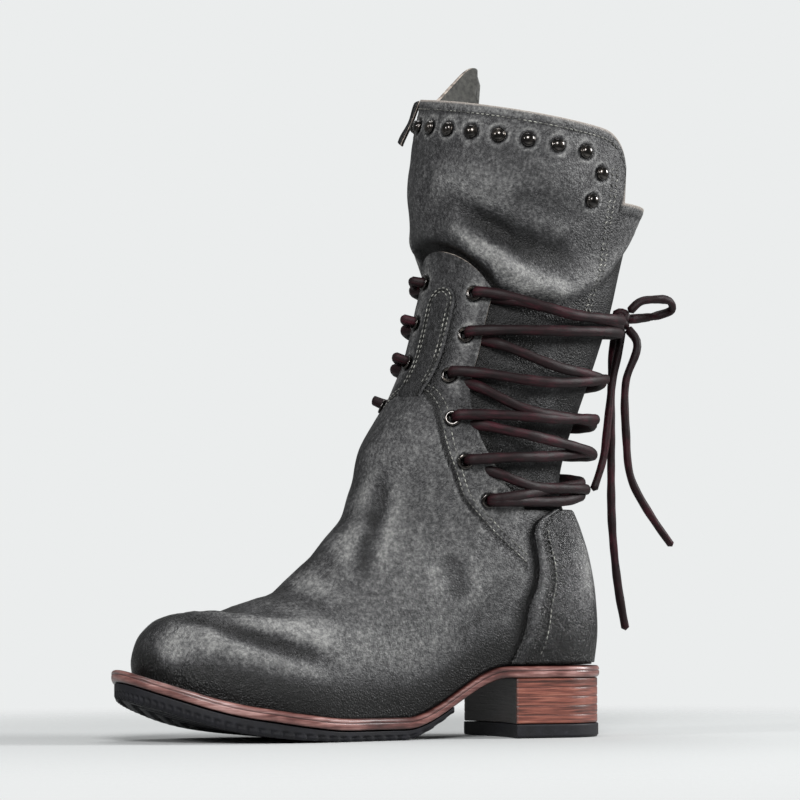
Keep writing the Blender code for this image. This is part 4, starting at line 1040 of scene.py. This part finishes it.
TAB_FOOT, TAB_LONG, TAB_ANGLE, TAB_HALF = 312.4, 25.0, 211.0, 2.8
TAB_WIDE, TAB_WALL, TAB_AWAY = 5.3, 0.9, 6.0


def tab_place(u, v):
    """Padded face of the folded tab."""
    height = TAB_FOOT + v * TAB_LONG
    angle = TAB_ANGLE + (1.0 - 2.0 * u) * TAB_HALF
    edge = np.minimum(np.minimum(u, 1.0 - u) * TAB_WIDE, np.minimum(v, 1.0 - v) * TAB_LONG)
    away = TAB_AWAY * (1.0 - v) ** 1.2
    relief = TAB_WALL + away + 2.6 * np.sqrt(ease(edge / 1.6)) * (0.85 + 0.15 * np.sin(v * 9.0))
    return surface(angle, height, relief), {"dark": np.full(len(u), 0.9), "wear_and_sheen": 0.3 * (edge < 0.6)}


tab = shaped_grid("collar_fold_tab", 14, 34, tab_place, False)
add_wall(tab, TAB_WALL, (grey_leather, lining, raw_edge))
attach(tab, "root")
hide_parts("collar_tab")


# Stitches. Waxed linen thread in rows: two along the vamp's edge, two round the stay, two down each
# side of the back strap, one under the collar's rim and one inside the counter's edge.

STITCH_PITCH, STITCH_LONG, STITCH_WIDE = 2.8, 2.2, 0.7


def beside(line, shift):
    """A line moved sideways on the boot's face by a distance in millimetres."""
    angle, height = line
    row = surface(angle, height)
    ahead = np.gradient(row, axis=0)
    out = surface(angle, height, 1.0) - row
    across = np.cross(out, ahead)
    across = across / np.linalg.norm(across, axis=1, keepdims=True)
    around = surface(angle + 0.5, height) - surface(angle - 0.5, height)
    rise = surface(angle, height + 0.5) - surface(angle, height - 0.5)
    step = shift * across
    turn = (step * around).sum(axis=1) / (around * around).sum(axis=1)
    climb = (step * rise).sum(axis=1) / (rise * rise).sum(axis=1)
    return angle + turn, height + climb


def on_row(at, reach, row):
    """Points, or other triples, at some lengths along a row."""
    return np.stack([np.interp(at, reach, row[:, k]) for k in range(3)], axis=-1)


def sew(name, rows, lift, slant=0.0):
    """Copy one stitch along rows on the boot's face, each row a line and its height above the face.

    With a slant the stitches of a row lean to both sides in turn, as a zig-zag.
    """
    bpy.ops.object.select_all(action="DESELECT")
    bpy.ops.mesh.primitive_uv_sphere_add(segments=6, ring_count=4, radius=1.0)
    one = bpy.context.object
    shape = np.array([v.co for v in one.data.vertices])
    sides = [tuple(p.vertices) for p in one.data.polygons]
    bpy.data.objects.remove(one)
    points, faces = [], []
    for line, extra in rows:
        row = surface(*line, lift + extra)
        out = surface(*line, lift + extra + 1.0) - row
        reach = lengths(row)
        for number, at in enumerate(np.arange(STITCH_PITCH, reach[-1] - STITCH_PITCH / 2.0, STITCH_PITCH)):
            place, after = on_row(at, reach, row), on_row(at + 0.5, reach, row)
            up = on_row(at, reach, out)
            along = (after - place) / np.linalg.norm(after - place)
            along = along + (slant if number % 2 else -slant) * np.cross(up, along)
            along = along / np.linalg.norm(along)
            side = np.cross(up, along)
            body = (shape[:, :1] * along * STITCH_LONG / 2.0 + shape[:, 1:2] * side * STITCH_WIDE / 2.0
                    + shape[:, 2:] * up * STITCH_WIDE / 2.0)
            first = len(points) * len(shape)
            points.append(place + body)
            faces.extend([tuple(i + first for i in face) for face in sides])
    mesh = bpy.data.meshes.new(name)
    mesh.from_pydata((np.concatenate(points) * MM).tolist(), [], faces)
    made = bpy.data.objects.new(name, mesh)
    bpy.context.scene.collection.objects.link(made)
    mesh.shade_smooth()
    mesh.materials.append(thread)
    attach(made, "root")


# Waxed linen thread, twisted: greyed by wear in patches of 8 mm, slightly shiny
thread, tree, shader = new_finish("waxed_linen_thread")
spot = node(tree, "ShaderNodeTexCoord")
dirt = node(tree, "ShaderNodeTexNoise", {"Vector": spot.outputs["Object"], "Scale": 120.0, "Detail": 4.0})
tone = node(tree, "ShaderNodeValToRGB", {"Fac": dirt.outputs["Fac"]},
            ((0.36, "#2c2c2a"), (0.50, "#71716c"), (0.68, "#a8a8a0")))
tree.links.new(tone.outputs["Color"], shader.inputs["Base Color"])
shader.inputs["Roughness"].default_value = 0.6

# Each pair of rows: way in from the piece's edge
VAMP_ROWS, STAY_ROWS, STAY_FACE = (2.0, 4.6), (1.7, 3.6), 1.9
vamp_rows = [beside(vamp_edge, inset) for inset in VAMP_ROWS]
sew("vamp_stitches", [(row, upper_finish(*row)[0]) for row in vamp_rows], 0.12)


def stay_outline(inset):
    """Line round the stay, up one side, over its arch and down the other."""
    half = STAY_HALF - inset / PANEL_DEGREE
    climb = np.linspace(STAY_FOOT - 1.0, STAY_TOP - STAY_ARCH, 30)
    bow = np.radians(np.linspace(-90.0, 90.0, 31)[1:-1])
    local = np.concatenate([np.full(30, -half), half * np.sin(bow), np.full(30, half)])
    arch = STAY_TOP - STAY_ARCH + (STAY_ARCH - inset) * np.cos(bow)
    height = np.concatenate([climb, arch, climb[::-1]])
    return 180.0 - panel_turn(height) - local, height


sew("stay_stitches", [(stay_outline(inset), STAY_FACE) for inset in STAY_ROWS], 0.1)
STRAP_ROWS, STRAP_ANGLE, STRAP_TOP, STRAP_FOOT, FAR_FROM_RIM = (0.0, 3.4), 96.0, 298.0, 216.0, 60.0
strap_rows = []
height = np.linspace(STRAP_TOP, STRAP_FOOT, 70)
hem = np.full_like(height, FAR_FROM_RIM)
for side in (1, -1):
    for shift in STRAP_ROWS:
        angle = 180.0 - TURN - side * (STRAP_ANGLE + 3.0 * ease((STRAP_TOP - height) / 70.0) - shift)
        strap_rows.append(((angle, height), shaft_finish(angle, height, hem)[0]))
sew("strap_stitches", strap_rows, 0.2, 1.1)
RIM_ROW, RIM_ROW_ANGLE = 5.0, 96.0
rim_angle = 180.0 - TURN - np.linspace(-RIM_ROW_ANGLE, RIM_ROW_ANGLE, 150)
rim_row = (rim_angle, collar_rim(rim_angle) - RIM_ROW)
rim_relief = shaft_finish(*rim_row, np.full_like(rim_angle, RIM_ROW))[0]
sew("collar_stitches", [(rim_row, rim_relief)], 0.15)
COUNTER_ROW_ANGLE, COUNTER_FACE = 8.0, 2.3
counter_row = np.linspace(42.0, 108.0, 50)
counter_half = curve_through(COUNTER_HEIGHTS, COUNTER_HALVES, counter_row) - COUNTER_ROW_ANGLE
counter_rows = [((side * counter_half, counter_row), 0.0) for side in (1, -1)]
sew("counter_stitches", counter_rows, COUNTER_FACE)


# Eyelets. Pressed brass rings, blackened, with a flared lip on the face of the panel
# and a short barrel through the leather, six along each edge.

BARREL_INSIDE, BARREL_OUTSIDE, BARREL_FOOT, EYELET_SEAT = 2.35, 2.9, -1.6, 0.4


def turned(name, profile, sides):
    """Ring or dome turned round its own Z from a profile of (radius, height)."""
    profile = np.asarray(profile, float)
    knots = np.linspace(0.0, 1.0, len(profile))

    def place(u, v):
        radius, height = np.interp(v, knots, profile[:, 0]), np.interp(v, knots, profile[:, 1])
        turn = 2.0 * np.pi * u
        return np.stack([radius * np.cos(turn), radius * np.sin(turn), height], axis=-1), {}

    return shaped_grid(name, sides, len(profile) - 1, place)


def set_copy(model, name, place):
    """Copy a model with its own mesh, and set it in its place."""
    made = model.copy()
    made.data = model.data.copy()
    made.name = made.data.name = name
    bpy.context.scene.collection.objects.link(made)
    made.data.transform(place)
    return made


lip = np.radians(np.linspace(-60.0, 200.0, 12))[2:]
ring_profile = [(BARREL_INSIDE, BARREL_FOOT), (BARREL_INSIDE + 0.05, -0.2)]
ring_profile += [(EYELET_RADIUS - EYELET_WIRE * math.cos(a), 0.85 + 0.6 * math.sin(a)) for a in lip]
ring_profile += [(EYELET_RADIUS + 0.6, 0.15), (BARREL_OUTSIDE, 0.1), (BARREL_OUTSIDE, BARREL_FOOT),
                 (BARREL_INSIDE, BARREL_FOOT)]
eyelet = turned("eyelet", ring_profile, 28)

# Brass plated with nickel and blackened: dark, glossy, tarnished in spots of 3 mm
dark_nickel, tree, shader = new_finish("antique_dark_nickel")
spot = node(tree, "ShaderNodeTexCoord")
tarnish = node(tree, "ShaderNodeTexNoise", {"Vector": spot.outputs["Object"], "Scale": 320.0,
                                            "Detail": 5.0})
tone = node(tree, "ShaderNodeValToRGB", {"Fac": tarnish.outputs["Fac"]},
            ((0.3, "#141210"), (0.52, "#2f2b28"), (0.7, "#5f5953")))
tree.links.new(tone.outputs["Color"], shader.inputs["Base Color"])
shader.inputs["Metallic"].default_value = 1.0
shader.inputs["Coat Weight"].default_value = 0.7
shader.inputs["Coat Roughness"].default_value = 0.08
rough = node(tree, "ShaderNodeMapRange", {"Value": tarnish.outputs["Fac"], "To Min": 0.14, "To Max": 0.36})
tree.links.new(rough.outputs["Result"], shader.inputs["Roughness"])
eyelet.data.materials.append(dark_nickel)
for side_name, places in (("outer", outer_holes), ("inner", inner_holes)):
    for number, (angle, height) in enumerate(places, start=1):
        ring = set_copy(eyelet, f"eyelet_ring_{side_name}_{number}", seat(angle, height, EYELET_SEAT))
        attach(ring, "root")
        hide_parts(f"eyelet_{side_name}_{number}")
bpy.data.objects.remove(eyelet)


# Studs. Domed nickel rivets with a thin collar, set through the flaps in a row below the rim
# and down the rear corners.

STUD_RADIUS, STUD_DOME, STUD_FOOT, STUD_SEAT = 3.3, 2.2, -0.6, 0.5
bow = np.radians(np.linspace(0.0, 90.0, 10))
stud_profile = [(0.0, STUD_FOOT), (STUD_RADIUS, STUD_FOOT), (3.75, -0.1), (3.7, 0.35)]
stud_profile += [(STUD_RADIUS * math.cos(a), 0.45 + STUD_DOME * math.sin(a)) for a in bow]
stud = turned("stud", stud_profile, 28)
stud.data.materials.append(dark_nickel)
for number, (angle, level) in enumerate(stud_places, start=1):
    dome = set_copy(stud, f"collar_stud_{number:02d}", seat(angle, level, STUD_SEAT))
    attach(dome, "root")
    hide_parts(f"stud_{number:02d}")
bpy.data.objects.remove(stud)


# Lace. One long thong of dark oiled leather, about 5 mm wide and 4 mm thick, laced from the lowest
# eyelets up round the back of the shaft, tied behind it in a knot with one loop and two hanging ends.

LACE_WIDTH, LACE_FLAT, LACE_SIDES, SHAFT_MIDDLE = 5.2, 0.8, 12, 8.0
STRAND_RADIUS, STRAND_FLAT = 2.7, 0.76


def thong_tube(name, path, radius, flat, lies=True):
    """Thong along a row of points: a flattened tube with rounded ends, its flat side to the boot."""
    path = np.asarray(path, float)
    ahead = np.gradient(path, axis=0)
    ahead = ahead / np.linalg.norm(ahead, axis=1, keepdims=True)
    reach = lengths(path)
    across = np.empty_like(path)
    guide = np.cross(ahead[0], (0.3, 0.5, 0.8))
    for i in range(len(path)):
        if lies:
            guide = np.cross(ahead[i], path[i] - np.array([SHAFT_MIDDLE, 0.0, path[i, 2]]))
        guide = guide - (guide @ ahead[i]) * ahead[i]
        guide = guide / np.linalg.norm(guide)
        across[i] = guide
    other = np.cross(ahead, across)
    shares = reach / reach[-1]

    def place(u, v):
        turn = 2.0 * np.pi * u
        near_end = np.minimum(v, 1.0 - v) * reach[-1]
        thick = radius * np.sqrt(1.0 - (1.0 - np.clip(near_end / 1.2, 0.0, 1.0)) ** 2)
        thick = thick * (1.0 + 0.05 * np.sin(v * reach[-1] / 7.0) + 0.03 * np.sin(v * reach[-1] / 2.3))
        wide, deep = on_row(v, shares, across), on_row(v, shares, other)
        around = np.cos(turn)[:, None] * wide + flat * np.sin(turn)[:, None] * deep
        return on_row(v, shares, path) + thick[:, None] * around, {}

    return shaped_grid(name, LACE_SIDES, max(8, int(reach[-1] / 1.6)), place)


# Oiled leather thong, cut and rolled: dark burgundy with a waxy sheen. Its creases follow its own
# length, and its lighter patches are 17 mm.
thong, tree, shader = new_finish("oiled_burgundy_thong")
spot = node(tree, "ShaderNodeTexCoord")
drawn = node(tree, "ShaderNodeMapping", {"Vector": spot.outputs["UV"], "Scale": (5.0, 14.0, 1.0)})
fibre = node(tree, "ShaderNodeTexNoise", {"Vector": drawn.outputs[0], "Scale": 2.0, "Detail": 7.0,
                                          "Roughness": 0.65})
patch = node(tree, "ShaderNodeTexNoise", {"Vector": spot.outputs["Object"], "Scale": 60.0, "Detail": 3.0})
mixed = node(tree, "ShaderNodeMath", {0: fibre.outputs["Fac"], 1: patch.outputs["Fac"]}, operation="ADD")
halved = node(tree, "ShaderNodeMath", {0: mixed.outputs[0], 1: 0.5}, operation="MULTIPLY")
tone = node(tree, "ShaderNodeValToRGB", {"Fac": halved.outputs[0]},
            ((0.3, "#060203"), (0.5, "#170609"), (0.62, "#310d16"), (0.78, "#52202b")))
tree.links.new(tone.outputs["Color"], shader.inputs["Base Color"])
rough = node(tree, "ShaderNodeMapRange", {"Value": fibre.outputs["Fac"], "To Min": 0.42, "To Max": 0.72})
tree.links.new(rough.outputs["Result"], shader.inputs["Roughness"])
shader.inputs["Specular IOR Level"].default_value = 0.22
relief = node(tree, "ShaderNodeBump", {"Height": fibre.outputs["Fac"], "Strength": 0.35,
                                       "Distance": 0.0008})
tree.links.new(relief.outputs["Normal"], shader.inputs["Normal"])


# A strand's height above the boot's face under the panel, in an eyelet and where it bows out of the
# outer and the inner one, and the height of the ankle's hollow, which the strands span
BEHIND_PANEL, IN_EYELET, STRAND_BOWS = -2.4, -2.2, (4.4, 6.2)
ANKLE_HOLLOW = 148.0


def strand_path(start, end, lean, lift, under, dip):
    """Route of a strand from an outer to an inner eyelet, round the back of the shaft.

    A strand comes out of an eyelet over the panel, or from under the panel's open edge.
    """
    share = np.linspace(0.0, 1.0, 110)
    angles = start[0] + share * (end[0] - 360.0 - start[0])
    early = share ** 0.75 if under[0] else share
    heights = start[1] - lean + early * (end[1] - start[1] + 2.0 * lean)
    hollow = 2.5 + 9.0 * np.exp(-((heights - ANKLE_HOLLOW) / 30.0) ** 2)
    away = hollow * np.sin(np.pi * share) ** 4
    sag = 1.3 * np.sin(np.pi * share * 3.0 + start[1]) * np.sin(np.pi * share)
    sag = sag - dip * ease(share / 0.22) * (1.0 - ease((share - 0.42) / 0.4))
    offset = lift + away
    span = np.abs(angles[0] - angles[-1])
    for hidden, near, bow in zip(under, (share, 1.0 - share), STRAND_BOWS):
        reach = near * span
        if hidden:
            rise = BEHIND_PANEL + (offset - BEHIND_PANEL) * ease((reach - 10.0) / 14.0)
            offset = np.where(reach < 24.0, rise, offset)
        else:
            clear = ease((reach - 3.0) / 12.0)
            rise = bow * (1.0 - clear) + offset * clear
            rise = IN_EYELET + (rise - IN_EYELET) * ease((reach + 0.6) / 3.2)
            offset = np.where(reach < 15.0, rise, offset)
    return surface(angles, heights + sag, offset)


def curved(points, count):
    """Evenly spaced points on a smooth curve through a route's own points."""
    points = np.asarray(points, float)
    reach = lengths(points)
    fine = np.linspace(0.0, reach[-1], count)
    return np.stack([curve_through(reach, points[:, k], fine) for k in range(3)], axis=-1)


routes = [strand_path(outer_holes[-1], inner_holes[-1], 0.3, 2.9, (False, False), 1.0)]
for hole, (drop, hang) in enumerate(((5.0, 4.0), (13.0, 9.0), (14.0, 5.0), (4.0, 1.0), (8.0, -2.0))):
    routes.append(strand_path(outer_holes[hole], inner_holes[hole + 1], 0.9, 2.4, (True, False), drop))
    routes.append(strand_path(outer_holes[hole + 1], inner_holes[hole], -0.9, 3.4, (False, True), hang))
routes.append(strand_path(outer_holes[0], inner_holes[0], 0.0, 3.0, (False, False), 11.5))
routes.append(curved(((-51.0, 3.0, 217.0), (-49.0, 4.0, 208.0), (-44.0, 5.0, 188.0), (-40.5, 6.0, 166.0),
                      (-37.5, 6.0, 146.0), (-31.5, 6.0, 129.0)), 60))
crossings = joined([thong_tube(f"strand_{number}", route, STRAND_RADIUS, STRAND_FLAT)
                    for number, route in enumerate(routes)])
crossings.name = crossings.data.name = "lace_strands"
crossings.data.materials.append(thong)
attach(crossings, "root")
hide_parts("lace_crossings")

KNOT, KNOT_RADIUS, KNOT_THONG, KNOT_FLAT = Vector((-51.7, 0.0, 221.7)), 5.5, 2.4, 0.9
TREFOIL, TREFOIL_DEEP = 1.4, 2.3
turn = np.linspace(0.0, 2.0 * np.pi, 90)
trefoil = np.stack([TREFOIL * (np.sin(turn) + 2.0 * np.sin(2.0 * turn)),
                    TREFOIL * (np.cos(turn) - 2.0 * np.cos(2.0 * turn)),
                    -TREFOIL_DEEP * np.sin(3.0 * turn)], axis=-1)
lean = Matrix.Rotation(math.radians(80.0), 3, "Y") @ Matrix.Rotation(0.5, 3, "Z")
knot_route = np.array([KNOT + lean @ Vector(p) for p in trefoil])
knot = thong_tube("lace_knot_turns", knot_route, KNOT_THONG, KNOT_FLAT, lies=False)
knot.data.materials.append(thong)
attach(knot, "root")
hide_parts("lace_knot")


def free_route(knots, close=False):
    """Smooth route of a free part of the lace from the knot's face through its own points."""
    ends = [KNOT + (KNOT_RADIUS + 0.3) * (Vector(knots[k]) - KNOT).normalized() for k in (0, -1)]
    return curved([ends[0], *[Vector(k) for k in knots], *(ends[1:] if close else [])], 40)


# Each free part: the solid it stands for, its name, its route, its far end and how it lies
free_parts = (
    ("lace_loop", "lace_bow_loop", free_route(
        ((-61.9, 4.0, 231.7), (-69.5, 5.0, 233.0), (-80.0, 4.0, 232.5), (-84.0, -1.0, 228.5),
         (-77.8, -6.0, 225.5), (-67.9, -5.0, 223.7)), True), "knot", "loose"),
    ("lace_end_a", "lace_long_end", free_route(
        ((-51.9, -7.0, 211.7), (-50.0, -7.0, 190.0), (-49.5, -7.0, 150.0), (-50.0, -7.0, 110.0),
         (-54.0, -7.0, 75.0), (-58.0, -7.0, 55.0))), "bare", "hanging"),
    ("lace_end_b", "lace_short_end", free_route(
        ((-56.9, 8.0, 210.7), (-51.0, 7.0, 188.0), (-51.0, 7.0, 160.0), (-54.0, 7.0, 136.0),
         (-64.0, 7.0, 119.0), (-70.0, 7.0, 111.0), (-79.0, 7.0, 100.0))), "bare", "hanging"),
)
for solid, name, route, far_end, lay in free_parts:
    piece = thong_tube(name, route, LACE_WIDTH / 2.0, LACE_FLAT)
    piece.data.materials.append(thong)
    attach(piece, "root")
    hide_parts(solid)


bpy.context.view_layer.update()
